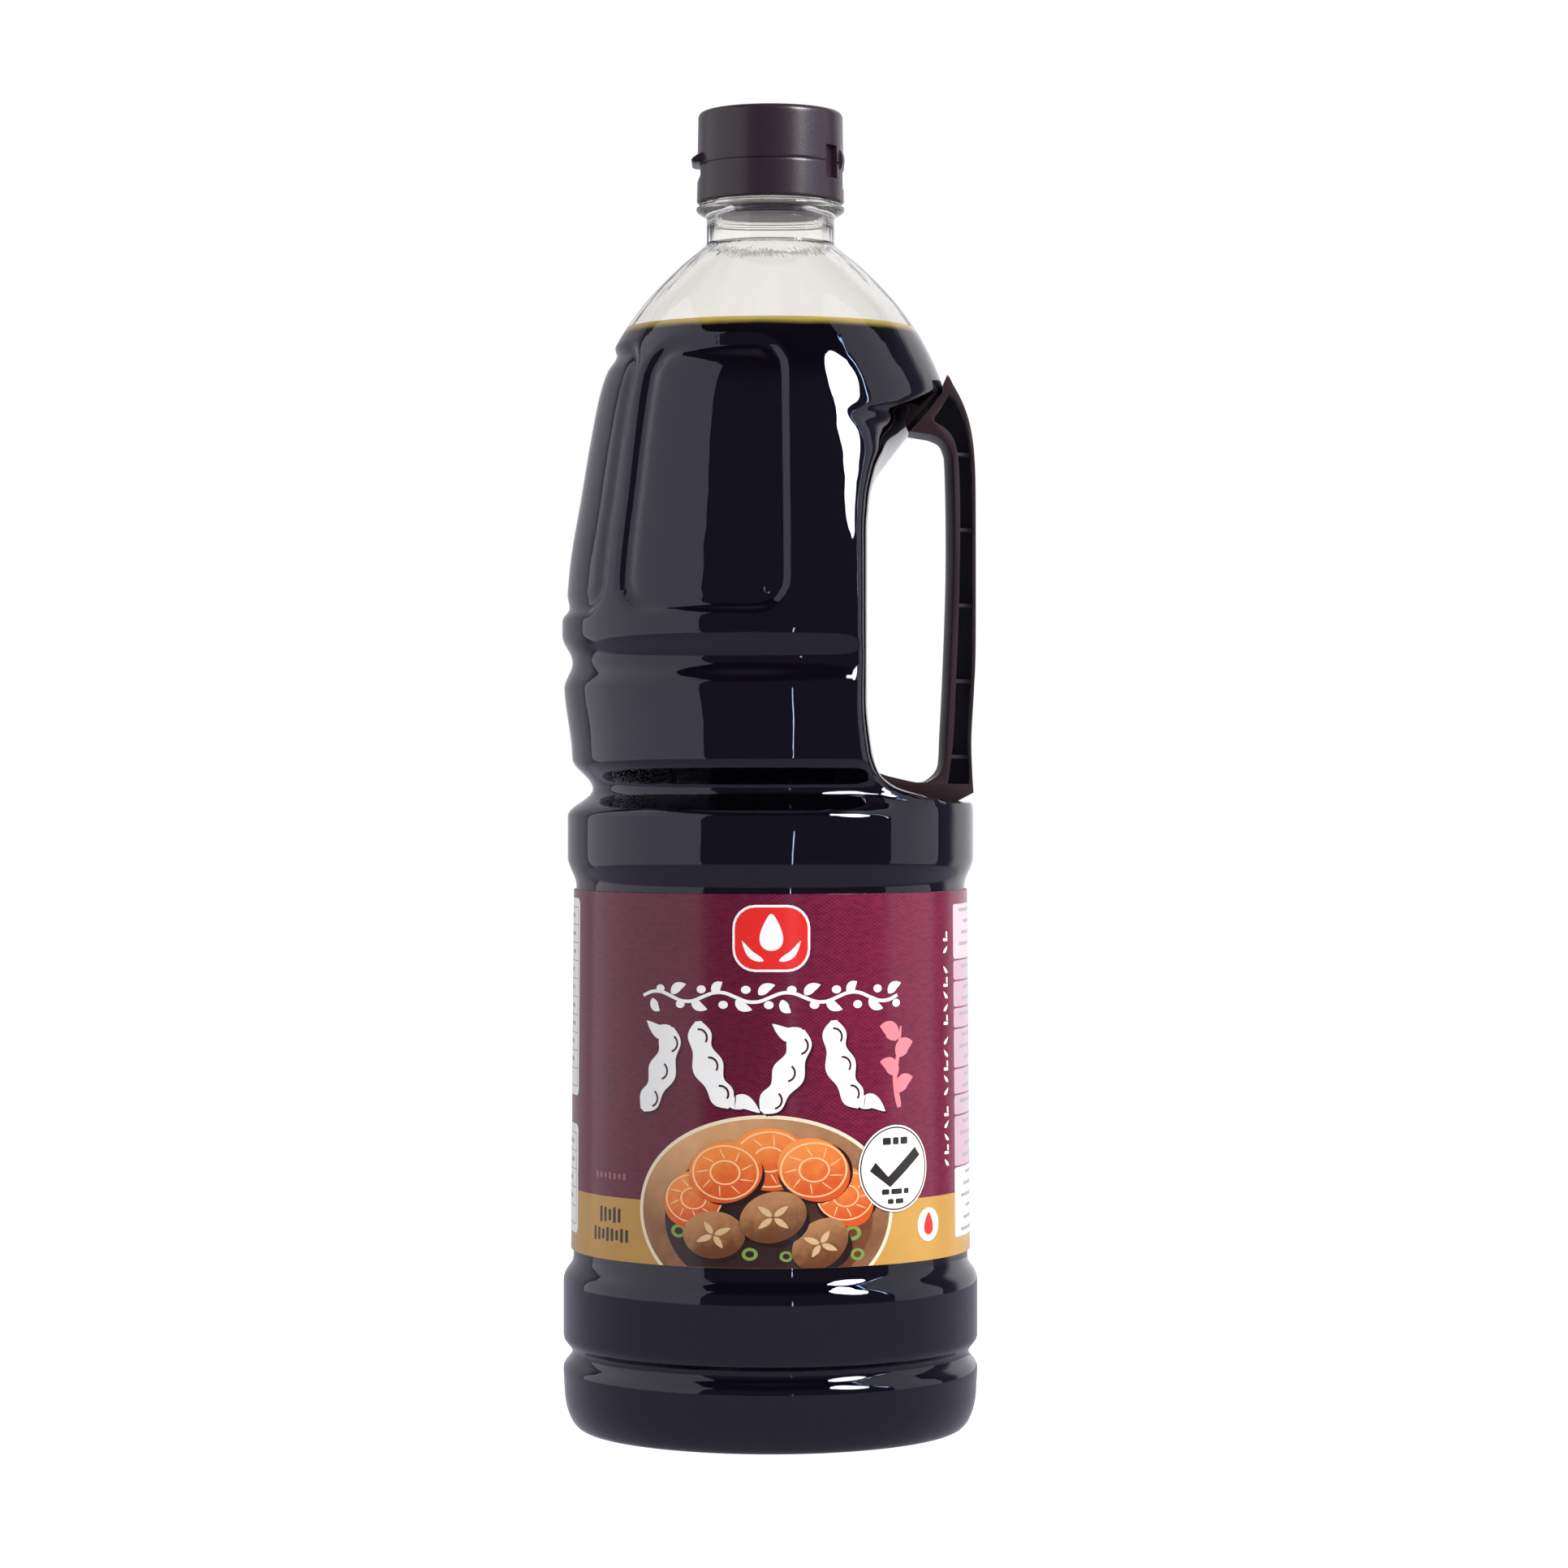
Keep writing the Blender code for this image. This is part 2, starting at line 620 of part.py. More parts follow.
def make_handle(collection, cutter_root):
    """The grip: finger and palm plates joined by a thin web with ribs."""
    handle = make_handle_body(collection)
    pockets = child_collection("handle_pockets", cutter_root)
    ribs = child_collection("handle_ribs", cutter_root)
    past_edge = HANDLE_HALF_WIDTH + CUTTER_OVERSHOOT
    pocket = POCKET_PALM_SIDE + POCKET_FINGER_SIDE + POCKET_ARM_CORNER
    for low, high in ((-past_edge, -WEB_HALF_THICKNESS), (WEB_HALF_THICKNESS, past_edge)):
        prism("pocket", pocket, low, high, across_y, pockets)
    palm_edge = SmoothCurve([(z, x) for x, z in reversed(POCKET_PALM_SIDE)])
    finger_edge = SmoothCurve([(z, x) for x, z in POCKET_FINGER_SIDE])
    for i in range(RIB_COUNT):
        z = RIB_HEIGHTS_FROM + i * RIB_SPACING
        near = finger_edge.at(z) - RIB_ROOT
        far = palm_edge.at(z) + RIB_ROOT
        bottom = z - RIB_HALF_THICKNESS
        top = z + RIB_HALF_THICKNESS
        rib = ((near, bottom), (far, bottom), (far, top), (near, top))
        prism("rib", rib, -RIB_HALF_WIDTH, RIB_HALF_WIDTH, across_y, ribs)
    add_boolean(handle, "DIFFERENCE", pockets)
    add_boolean(handle, "UNION", ribs)
    return handle


def finish_material(name):
    colour, roughness, transmission = FINISHES[name]
    material = bpy.data.materials.new(name)
    material.use_nodes = True
    shader = material.node_tree.nodes["Principled BSDF"]
    shader.inputs["Base Color"].default_value = (*colour, 1.0)
    shader.inputs["Roughness"].default_value = roughness
    shader.inputs["Metallic"].default_value = 0.0
    shader.inputs["Transmission Weight"].default_value = transmission
    return material


def dress(made, finish):
    made.data.materials.append(finish_material(finish))
    made.data.shade_smooth()
    made.data.set_sharp_from_angle(angle=SMOOTH_ANGLE)


def main():
    for existing in list(bpy.data.objects):
        bpy.data.objects.remove(existing)
    collection = bpy.data.collections.new(COLLECTION_NAME)
    cutter_root = bpy.data.collections.new(CUTTER_COLLECTION_NAME)
    for made in (collection, cutter_root):
        bpy.context.scene.collection.children.link(made)

    dress(make_bottle(collection), "clear_pet")
    dress(make_soy_sauce(collection), "dark_sauce")
    dress(make_label(collection), "label_film")
    dress(make_cap(collection, cutter_root), "cap_plastic")
    dress(make_handle(collection, cutter_root), "handle_plastic")
    for cutter in cutter_root.all_objects:
        hide_cutter(cutter)


if __name__ == "__main__":
    main()
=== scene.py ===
"""Finish, label print and stage for a handled soy sauce bottle.

Every piece is made around the bottle's packed solids, in metres, +Z up: the
label faces -Y, the grip handle is on +X and the cap's thumb tab on -X.
"""
import math

import bmesh
import bpy
import numpy as np
from bpy.props import FloatProperty, FloatVectorProperty, IntProperty, PointerProperty
from mathutils import Matrix, Vector


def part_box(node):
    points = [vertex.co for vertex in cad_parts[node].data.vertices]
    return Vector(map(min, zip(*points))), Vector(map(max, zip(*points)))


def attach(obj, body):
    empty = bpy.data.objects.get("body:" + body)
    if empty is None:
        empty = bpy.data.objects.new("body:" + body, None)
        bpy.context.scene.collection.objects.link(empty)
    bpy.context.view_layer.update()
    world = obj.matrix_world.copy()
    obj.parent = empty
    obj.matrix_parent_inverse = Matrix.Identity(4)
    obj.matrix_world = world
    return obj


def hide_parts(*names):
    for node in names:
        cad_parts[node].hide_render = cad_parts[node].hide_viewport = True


bl_info = {
    "name": "Soy Sauce Bottle Finish",
    "version": (1, 0, 0),
    "blender": (4, 5, 0),
    "location": "View3D > Sidebar > Sauce Bottle",
    "description": "Fine surfaces, label print and studio for a handled sauce bottle",
    "category": "Object",
}

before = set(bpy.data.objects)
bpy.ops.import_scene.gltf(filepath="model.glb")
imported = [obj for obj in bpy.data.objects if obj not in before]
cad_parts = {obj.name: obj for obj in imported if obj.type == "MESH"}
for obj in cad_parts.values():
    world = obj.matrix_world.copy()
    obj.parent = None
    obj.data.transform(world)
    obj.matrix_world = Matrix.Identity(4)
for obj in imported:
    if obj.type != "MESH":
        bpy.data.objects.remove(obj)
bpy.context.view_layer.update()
BODY = "root"

SAUCE_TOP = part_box("soy_sauce")[1].z
LABEL_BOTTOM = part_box("label")[0].z
LABEL_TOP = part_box("label")[1].z
CAP_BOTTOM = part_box("cap")[0].z
CAP_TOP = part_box("cap")[1].z
HANDLE_HALF_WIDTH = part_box("handle")[1].y

# Base: a flat foot ring round a shallow push-up, and an elliptical heel
BASE_PROFILE = (
    (0.0080, 0.0050), (0.0200, 0.0047), (0.0300, 0.0041), (0.0360, 0.0034),
    (0.0385, 0.0024), (0.0396, 0.0008), (0.0404, 0.0001), (0.0412, 0.0),
    (0.0437, 0.0),
)
PUSH_UP_HEIGHT = 0.0050
FOOT_OUTER_RADIUS = 0.0437
HEEL_WIDTH = 0.0045
HEEL_HEIGHT = 0.0100
HEEL_STEPS = 10

# Plain body before its grooves, panels and recess: (height, radius)
BODY_PROFILE = (
    (0.0100, 0.0482), (0.0140, 0.0484), (0.0345, 0.0484), (0.0358, 0.0482),
    (0.0372, 0.0475), (0.0386, 0.04645), (0.0398, 0.0461), (0.1265, 0.0454),
    (0.1330, 0.0474), (0.1425, 0.0474), (0.1560, 0.0464),
    (0.1720, 0.0482), (0.1870, 0.0487), (0.1990, 0.0480), (0.2174, 0.0451),
    (0.2311, 0.0428), (0.2425, 0.0404), (0.2516, 0.0366), (0.2607, 0.0308),
    (0.2698, 0.0224), (0.2761, 0.0150),
)

# Ring grooves: centre height, reach below, reach above, depth
LOWER_GROOVE = (0.0179, 0.0037, 0.0037, 0.0021)
WAIST_GROOVE = (0.1488, 0.0060, 0.0075, 0.0054)
MIDDLE_GROOVE = (0.1786, 0.0064, 0.0062, 0.0022)
# The middle groove is deeper at its front: share, middle angle and reach
MIDDLE_SWELL = (0.5, math.radians(105), math.radians(52))
WAIST_RUN_OUT = (math.radians(38), math.radians(64))
MIDDLE_RUN_OUT = (math.radians(56), math.radians(74))

# Grip panels: a slightly sunk face with a deeper sunk border round it
PANEL_HEIGHTS = (0.1910, 0.2496)
PANEL_CORNER = 0.0060
PANEL_FACE_DEPTH = 0.0009
PANEL_BORDER_REACH_IN = 0.0036
PANEL_BORDER_REACH_OUT = 0.0027
PANEL_BORDER_DEPTH = 0.0016
SIDE_PANEL_ANGLES = (math.radians(87.0), math.radians(133.5))
END_PANEL_ANGLES = (math.radians(144.0), math.radians(216.0))

# Handle recess: distance of its wall from the axis at each height
RECESS_WALL = (
    (0.1450, 0.0640), (0.1461, 0.0470), (0.1470, 0.0392), (0.1480, 0.0338),
    (0.1498, 0.0282), (0.1530, 0.0246), (0.1580, 0.0230), (0.1700, 0.0218),
    (0.2080, 0.0219), (0.2150, 0.0226), (0.2210, 0.0243), (0.2265, 0.0282),
    (0.2368, 0.0368), (0.2400, 0.0405), (0.2460, 0.0640),
)
RECESS_BLEND = 0.0065
# How much deeper the recess is at its front and back edges: (height, depth)
RECESS_FLARE = (
    (0.2120, 0.0), (0.2200, 0.0004), (0.2250, 0.0018), (0.2300, 0.0055),
    (0.2350, 0.0095), (0.2380, 0.0075), (0.2410, 0.0030), (0.2450, 0.0),
)
RECESS_FLARE_ANGLE = math.radians(52)
RECESS_HALF_ANGLE = math.radians(85)

# Neck and finish: (radius, height), with its bore
NECK_PROFILE = (
    (0.0149, 0.2771), (0.0149, 0.2823), (0.0151, 0.2827), (0.0162, 0.2833),
    (0.0170, 0.2838), (0.0173, 0.2842), (0.01735, 0.2846), (0.0173, 0.2848),
    (0.0169, 0.2850), (0.0165, 0.2851), (0.0167, 0.2853), (0.0167, 0.2856),
    (0.0165, 0.2858), (0.0144, 0.2859), (0.0144, 0.2990),
)
# Inner surface of the neck: (radius, height)
BORE_PROFILE = (
    (0.0141, 0.2757), (0.0138, 0.2761), (0.0137, 0.2768), (0.0137, 0.2990),
)
NECK_BASE_HEIGHT = 0.2761

# Look of the plastic, and heights between which it changes
PLASTIC_INDEX = 1.575
STREAK_RISE = (0.225, 0.262)
STREAK_TINT = (0.94, 0.94, 0.93)
# Painted shade in the crease under the neck: its colour, strength and heights
CREASE_SHADE_COLOUR = (0.16, 0.13, 0.09)
CREASE_SHADE_STRENGTH = 0.55
CREASE_RISE = (0.27575, 0.27600)
CREASE_FALL = (0.27665, 0.27635)
# Heights and share by which the neck's rim turns milky: painted light standing in for reflected
# light
RIM_RISE = (0.2857, 0.2863)
RIM_PAINTED_LIGHT_SHARE = 0.75

# Edge of the sauce against the wall
MENISCUS_DEPTH = 0.0005
MENISCUS_WIDTH = 0.0014

# Label sleeve and its ink
INK_ROUGHNESS = 0.20
INK_GLOSS = 0.42
# Span along the label over which its painted shade on the left side fades out
LABEL_PAINTED_SHADE_SPAN = (-0.006, 0.018)
THREAD_PITCHES = (0.00125, 0.00085)
LABEL_GAP = 0.0003
LABEL_THICKNESS = 0.0003
LABEL_EDGE_ROUND = 0.00008
LABEL_COLUMNS = 320
LABEL_ROWS = 30

# Cap
CAP_BOTTOM_RADIUS = 0.0172
CAP_TOP_RADIUS = 0.0169
CAP_SEAM_HEIGHT = 0.2947
CAP_SEAM_HALF_WIDTH = 0.00016
CAP_SEAM_DEPTH = 0.00035
CAP_ROW_HOLD = 0.0004
CAP_FOOT_CHAMFER = 0.0003
CAP_EDGE_ROUND = 0.00012
CAP_SOCKET_RADIUS = 0.0148
CAP_SOCKET_TOP = 0.2994
TAB_HALF_WIDTH = 0.0065
TAB_SIDE = (
    (-0.0150, 0.2976), (-0.0170, 0.2967), (-0.0180, 0.2960), (-0.0184, 0.2955),
    (-0.0184, 0.2953), (-0.0181, 0.2951), (-0.0174, 0.2949), (-0.0150, 0.29485),
)
SCOOP_CENTRE = (-0.0192, 0.2930)
SCOOP_RADIUS = 0.0030
SCOOP_HALF_WIDTH = 0.0050
HINGE_WINDOW_ANGLES = (math.radians(25), math.radians(41))
HINGE_WINDOW_HEIGHTS = (0.2909, 0.2985)
HINGE_SLOT_HALF_ANGLE = math.radians(10)
HINGE_SLOT_HEIGHTS = (0.2891, 0.2966)
HINGE_DEPTH = 0.0016
HINGE_ARC_STEPS = 10
STRAP_ANGLE = math.radians(15.5)
STRAP_HEIGHTS = (0.2922, 0.2988)
STRAP_RISE = 0.0005
STRAP_ROOT_DEPTH = 0.0005
STRAP_HALF_WIDTH = 0.0009
STRAP_BOW_STEPS = 16
CUTTER_OVERSHOOT = 0.0015

# Handle outline in the XZ plane, apart from the edges that face the bottle
PALM_SIDE = (
    (0.0423, 0.2429), (0.0443, 0.2392), (0.0459, 0.2349), (0.0469, 0.2300),
    (0.0474, 0.2244), (0.0476, 0.2150), (0.0476, 0.1830), (0.0472, 0.1720),
    (0.0466, 0.1608), (0.0468, 0.1530), (0.0471, 0.1482),
)
FINGER_SIDE = (
    (0.0270, 0.1521, 0.0), (0.0345, 0.1505, 0.0), (0.0377, 0.1514, 0.0005),
    (0.0397, 0.1534, 0.0009), (0.0406, 0.1563, 0.0013), (0.0410, 0.1611, 0.0015),
    (0.0417, 0.1750, 0.0015), (0.0425, 0.1950, 0.0016), (0.0427, 0.2100, 0.0017),
    (0.0424, 0.2240, 0.0017), (0.0416, 0.2278, 0.0014), (0.0398, 0.2302, 0.0009),
    (0.0371, 0.2313, 0.0006),
)
ARM_TIP_HEIGHT = 0.2320
FOOT_TIP_HEIGHT = 0.1530
CONTACT_ROWS = (0.2360, 0.2378, 0.2395, 0.2412, 0.2430)
LEDGE_ROWS = (0.1464, 0.1471, 0.1478, 0.1487, 0.1498)
HANDLE_TIP = (0.0410, 0.2451)
HANDLE_TIP_CHAMFER = (0.0006, -0.0007)
ARM_TIP_BULGE = 0.0005
SEAT_OVERLAP = 0.0001
HANDLE_STATIONS = 17
POCKET_PALM_SIDE = (
    (0.0416, 0.2407), (0.0437, 0.2381), (0.0453, 0.2343), (0.0463, 0.2298),
    (0.0468, 0.2243), (0.0471, 0.2150), (0.0471, 0.1830), (0.0467, 0.1720),
    (0.0461, 0.1608), (0.0463, 0.1530), (0.0461, 0.1502),
)
POCKET_FINGER_SIDE = (
    (0.0411, 0.1502), (0.0419, 0.1560), (0.0425, 0.1620), (0.0432, 0.1780),
    (0.0438, 0.1950), (0.0440, 0.2130), (0.0437, 0.2240), (0.0427, 0.2296),
    (0.0408, 0.2324), (0.0390, 0.2336),
)
POCKET_CORNER = ((0.0381, 0.2342), (0.0380, 0.2349), (0.0385, 0.2360))
WEB_HALF_THICKNESS = 0.0009
RIB_HEIGHTS_FROM = 0.1565
RIB_SPACING = 0.01755
RIB_COUNT = 5
RIB_HALF_THICKNESS = 0.0004
RIB_HALF_WIDTH = 0.0086
RIB_ROOT = 0.0004
# Distances from the XZ plane between which the pockets' painted shade fades out
HANDLE_POCKET_SHADE = (0.0084, 0.0099)

SMOOTH_ANGLE = math.radians(38)
MERGE_DISTANCE = 0.00002


def length_setting(name, description, default, low, high):
    """A length, in metres, that a user can change."""
    return FloatProperty(
        name=name, description=description, default=default, min=low, max=high,
        unit="LENGTH", precision=5,
    )


def level_setting(name, description, default, high):
    """A brightness that a user can change."""
    return FloatProperty(
        name=name, description=description, default=default, min=0.0, max=high,
    )


def count_setting(name, description, default, low):
    """A number of faces that a user can change."""
    return IntProperty(
        name=name, description=description, default=default, min=low, max=512,
    )


def colour_setting(name, description, default):
    """A colour that a user can change."""
    return FloatVectorProperty(
        name=name, description=description, default=default, size=3,
        min=0.0, max=1.0, subtype="COLOR",
    )


class BottleSettings(bpy.types.PropertyGroup):
    """Wall and mesh of the clear bottle."""

    wall: length_setting(
        "Wall", "Thickness of the blown wall", 0.0008, 0.0003, 0.002,
    )
    columns: count_setting(
        "Columns", "Faces round the bottle", 288, 48,
    )
    fine_step: length_setting(
        "Fine Step", "Height of a row where the body has relief", 0.0009, 0.0004, 0.01,
    )
    plain_step: length_setting(
        "Plain Step", "Height of a row behind the label", 0.0050, 0.0004, 0.02,
    )
    tint: colour_setting(
        "Tint", "Colour of the clear plastic", (0.997, 0.987, 0.966),
    )
    sheen_tint: colour_setting(
        "Reflection Tint", "Colour of what the plastic reflects", (0.86, 0.84, 1.0),
    )


class SauceSettings(bpy.types.PropertyGroup):
    """Colours of the sauce and of the painted light at its edge."""

    film: length_setting(
        "Film", "How far the sauce lies under the outer surface", 0.0004, 0.0001, 0.001,
    )
    deep: colour_setting(
        "Deep", "Colour of the sauce seen through the wall", (0.0012, 0.0008, 0.0022),
    )
    # The edge colour is painted light: light shining through the thin sauce at its top
    edge: colour_setting(
        "Edge", "Colour of the thin edge at the surface", (0.74, 0.55, 0.13),
    )
    lit_edge_height: length_setting(
        "Edge Height", "Height over which the edge darkens", 0.0020, 0.0002, 0.01,
    )


class LabelSettings(bpy.types.PropertyGroup):
    """Colours and weave of the label."""

    plum: colour_setting(
        "Plum", "Colour of the label's field", (0.153, 0.0095, 0.0375),
    )
    gold: colour_setting(
        "Gold", "Colour of the band along the bottom", (0.55, 0.30, 0.066),
    )
    band_height: length_setting(
        "Band Height", "Height of the gold band", 0.0144, 0.0, 0.05,
    )
    white: colour_setting(
        "White", "Colour of the white print", (0.86, 0.85, 0.86),
    )
    red: colour_setting(
        "Red", "Colour of the seal", (0.70, 0.022, 0.018),
    )
    pink: colour_setting(
        "Pink", "Colour of the small sprig", (0.72, 0.22, 0.26),
    )
    layer: length_setting(
        "Print Layer", "Height of one layer of print", 0.00003, 0.00001, 0.0002,
    )
    strip: length_setting(
        "Print Strip", "Width of the faces that follow the curve", 0.002, 0.0005, 0.01,
    )


class CapSettings(bpy.types.PropertyGroup):
    """Mesh and finish of the cap."""

    steps: count_setting(
        "Steps", "Faces round the cap", 160, 24,
    )
    edge_round: length_setting(
        "Top Edge", "Radius of the round top edge", 0.0014, 0.0002, 0.004,
    )
    colour: colour_setting(
        "Colour", "Colour of the satin plastic", (0.019, 0.0095, 0.0150),
    )


class HandleSettings(bpy.types.PropertyGroup):
    """Mesh and finish of the grip handle."""

    edge_round: length_setting(
        "Edge", "Radius of the moulded edges", 0.00028, 0.0, 0.001,
    )
    colour: colour_setting(
        "Colour", "Colour of the moulded plastic", (0.022, 0.0070, 0.0090),
    )


class StageSettings(bpy.types.PropertyGroup):
    """Camera and studio."""

    camera_distance: length_setting(
        "Camera Distance", "From the lens to the bottle's axis", 1.0311, 0.3, 5.0,
    )
    camera_height: length_setting(
        "Camera Height", "Height of the lens above the floor", 0.1545, 0.0, 2.0,
    )
    softbox: level_setting(
        "Softbox", "Brightness of the large panel on the left", 0.70, 20.0,
    )
    key: level_setting(
        "Key", "Brightness of the oval light on the right", 22.0, 200.0,
    )
    strips: level_setting(
        "Strips", "Brightness of the two thin strips on the right", 14.0, 200.0,
    )
    side: level_setting(
        "Side", "Brightness of the panel on the right", 0.6, 20.0,
    )
    ambient: level_setting(
        "Ambient", "Brightness of the white room on matt surfaces", 0.36, 5.0,
    )


SETTINGS = {
    "sauce_bottle_wall": BottleSettings,
    "sauce_bottle_sauce": SauceSettings,
    "sauce_bottle_label": LabelSettings,
    "sauce_bottle_cap": CapSettings,
    "sauce_bottle_handle": HandleSettings,
    "sauce_bottle_stage": StageSettings,
}


class SmoothCurve:
    """A curve through (position, value) points that never overshoots them."""

    def __init__(self, points):
        self.positions = [point[0] for point in points]
        self.values = [point[1] for point in points]
        steps = []
        for i in range(len(points) - 1):
            rise = self.values[i + 1] - self.values[i]
            steps.append(rise / (self.positions[i + 1] - self.positions[i]))
        self.slopes = [steps[0]]
        for before, after in zip(steps, steps[1:]):
            if before * after <= 0.0:
                self.slopes.append(0.0)
            else:
                self.slopes.append(2.0 * before * after / (before + after))
        self.slopes.append(steps[-1])

    def at(self, position):
        if position <= self.positions[0]:
            return self.values[0]
        if position >= self.positions[-1]:
            return self.values[-1]
        i = 0
        while position > self.positions[i + 1]:
            i += 1
        width = self.positions[i + 1] - self.positions[i]
        t = (position - self.positions[i]) / width
        start = (1 + 2 * t) * (1 - t) ** 2 * self.values[i]
        start += t * (1 - t) ** 2 * width * self.slopes[i]
        end = t * t * (3 - 2 * t) * self.values[i + 1]
        end += t * t * (t - 1) * width * self.slopes[i + 1]
        return start + end


BODY_CURVE = SmoothCurve(BODY_PROFILE)
RECESS_CURVE = SmoothCurve(RECESS_WALL)
FLARE_CURVE = SmoothCurve(RECESS_FLARE)


def smooth_step(value, low, high):
    t = min(max((value - low) / (high - low), 0.0), 1.0)
    return t * t * (3 - 2 * t)


def smooth_min(a, b, blend):
    """The lesser of two radii, with a rounded corner where they meet."""
    share = min(max(0.5 + 0.5 * (b - a) / blend, 0.0), 1.0)
    return b + (a - b) * share - blend * share * (1 - share)


def bell(distance):
    """1 at the middle of a groove, falling smoothly to 0 at a distance of 1."""
    if abs(distance) >= 1.0:
        return 0.0
    return 0.5 + 0.5 * math.cos(math.pi * distance)


def ring_groove(z, groove):
    centre, below, above, depth = groove
    reach = below if z < centre else above
    return depth * bell((z - centre) / reach)


def panel_depth(angle, z, radius, panel_angles):
    """How far one rounded rectangular panel is sunk, face and border."""
    low, high = PANEL_HEIGHTS
    middle_angle = 0.5 * (panel_angles[0] + panel_angles[1])
    half_height = 0.5 * (high - low)
    half_width = 0.5 * (panel_angles[1] - panel_angles[0]) * radius
    across = abs(angle - middle_angle) * radius - (half_width - PANEL_CORNER)
    up = abs(z - 0.5 * (low + high)) - (half_height - PANEL_CORNER)
    outside = math.hypot(max(across, 0.0), max(up, 0.0))
    distance = outside + min(max(across, up), 0.0) - PANEL_CORNER
    if distance < 0.0:
        extra = PANEL_BORDER_DEPTH - PANEL_FACE_DEPTH
        return PANEL_FACE_DEPTH + extra * bell(distance / PANEL_BORDER_REACH_IN)
    return PANEL_BORDER_DEPTH * bell(distance / PANEL_BORDER_REACH_OUT)


def body_radius(angle, z):
    """Outer radius of the bottle between its heel and its neck."""
    side = abs(angle)
    radius = BODY_CURVE.at(z)
    plain_radius = radius
    radius -= ring_groove(z, LOWER_GROOVE)
    radius -= ring_groove(z, WAIST_GROOVE) * smooth_step(side, *WAIST_RUN_OUT)
    share, middle, reach = MIDDLE_SWELL
    swell = 1.0 + share * bell((side - middle) / reach)
    radius -= ring_groove(z, MIDDLE_GROOVE) * swell * smooth_step(side, *MIDDLE_RUN_OUT)
    radius -= panel_depth(side, z, plain_radius, SIDE_PANEL_ANGLES)
    radius -= panel_depth(side, z, plain_radius, END_PANEL_ANGLES)
    in_recess = RECESS_WALL[0][0] < z < RECESS_WALL[-1][0]
    if in_recess and side < RECESS_HALF_ANGLE:
        flare = FLARE_CURVE.at(z) * (side / RECESS_FLARE_ANGLE) ** 2
        wall = (RECESS_CURVE.at(z) - flare) / math.cos(angle)
        radius = smooth_min(radius, wall, RECESS_BLEND)
    return radius


def polar(radius, angle, z):
    """A point at a radius, an angle and a height."""
    return (radius * math.cos(angle), radius * math.sin(angle), z)


def column_angles(count):
    return [-math.pi + 2 * math.pi * j / count for j in range(count)]


def round_row(radius, z, count):
    return [polar(radius, angle, z) for angle in column_angles(count)]


def body_row(z, count):
    return [polar(body_radius(angle, z), angle, z) for angle in column_angles(count)]


def body_heights(fine, plain):
    """Heights of the body's rows, close together where it has relief."""
    heights = [HEEL_HEIGHT]
    while heights[-1] < NECK_BASE_HEIGHT - fine:
        z = heights[-1]
        behind_label = LABEL_BOTTOM + fine < z < LABEL_TOP - plain
        heights.append(z + (plain if behind_label else fine))
    return heights + [NECK_BASE_HEIGHT]


def skin_rows(heights, count):
    """Rows of points from the middle of the base up to the given heights."""
    rows = [round_row(radius, z, count) for radius, z in BASE_PROFILE]
    for i in range(1, HEEL_STEPS):
        turn = 0.5 * math.pi * i / HEEL_STEPS
        radius = FOOT_OUTER_RADIUS + HEEL_WIDTH * math.sin(turn)
        rows.append(round_row(radius, HEEL_HEIGHT * (1 - math.cos(turn)), count))
    rows += [body_row(z, count) for z in heights]
    return np.array(rows)


def set_in(rows, depth):
    """Rows moved in along the surface's normals."""
    around = np.roll(rows, -1, axis=1) - np.roll(rows, 1, axis=1)
    up = np.gradient(rows, axis=0)
    normals = np.cross(around, up)
    normals /= np.linalg.norm(normals, axis=2, keepdims=True)
    return rows - normals * depth


def quads(first, count, row_count, outward=True):
    """Faces between rows of points that are numbered from first."""
    faces = []
    for i in range(row_count - 1):
        for j in range(count):
            k = (j + 1) % count
            low = first + i * count
            face = (low + j, low + k, low + count + k, low + count + j)
            faces.append(face if outward else face[::-1])
    return faces


def fan(centre, first, count, upward):
    """Triangles that close a row of points with one middle point."""
    faces = []
    for j in range(count):
        k = (j + 1) % count
        pair = (first + j, first + k) if upward else (first + k, first + j)
        faces.append((centre, *pair))
    return faces


def link(name, data):
    """A new object in the scene."""
    made = bpy.data.objects.new(name, data)
    bpy.context.scene.collection.objects.link(made)
    return made


def add_piece(name, data, material, slot, *nodes):
    """Link a finished mesh as a piece of the bottle."""
    piece = link(name, data)
    if not data.materials:
        data.materials.append(material)
    data.shade_smooth()
    data.set_sharp_from_angle(angle=SMOOTH_ANGLE)
    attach(piece, BODY)
    if nodes:
        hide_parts(*nodes)
    return piece


def mesh_data(name, points, faces):
    data = bpy.data.meshes.new(name)
    data.from_pydata([tuple(point) for point in points], [], faces)
    data.validate()
    data.update()
    return data


def new_material(name, roughness):
    """A material with its node tree and shader."""
    material = bpy.data.materials.new(name)
    material.use_nodes = True
    tree = material.node_tree
    shader = tree.nodes["Principled BSDF"]
    shader.inputs["Roughness"].default_value = roughness
    return material, tree, shader


def feed(tree, value, socket):
    """Set a socket to a number or colour, or link it to another socket."""
    if isinstance(value, bpy.types.NodeSocket):
        tree.links.new(value, socket)
    elif hasattr(value, "__len__") and len(value) == 3 and socket.type == "RGBA":
        socket.default_value = (*value, 1.0)
    else:
        socket.default_value = value


def maths(tree, operation, *values):
    node = tree.nodes.new("ShaderNodeMath")
    node.operation = operation
    for value, socket in zip(values, node.inputs):
        feed(tree, value, socket)
    return node.outputs[0]


def soft_range(tree, value, low, high):
    """0 below low, 1 above high, smooth between them."""
    node = tree.nodes.new("ShaderNodeMapRange")
    node.interpolation_type = "SMOOTHSTEP"
    feed(tree, value, node.inputs["Value"])
    node.inputs["From Min"].default_value = low
    node.inputs["From Max"].default_value = high
    return node.outputs["Result"]


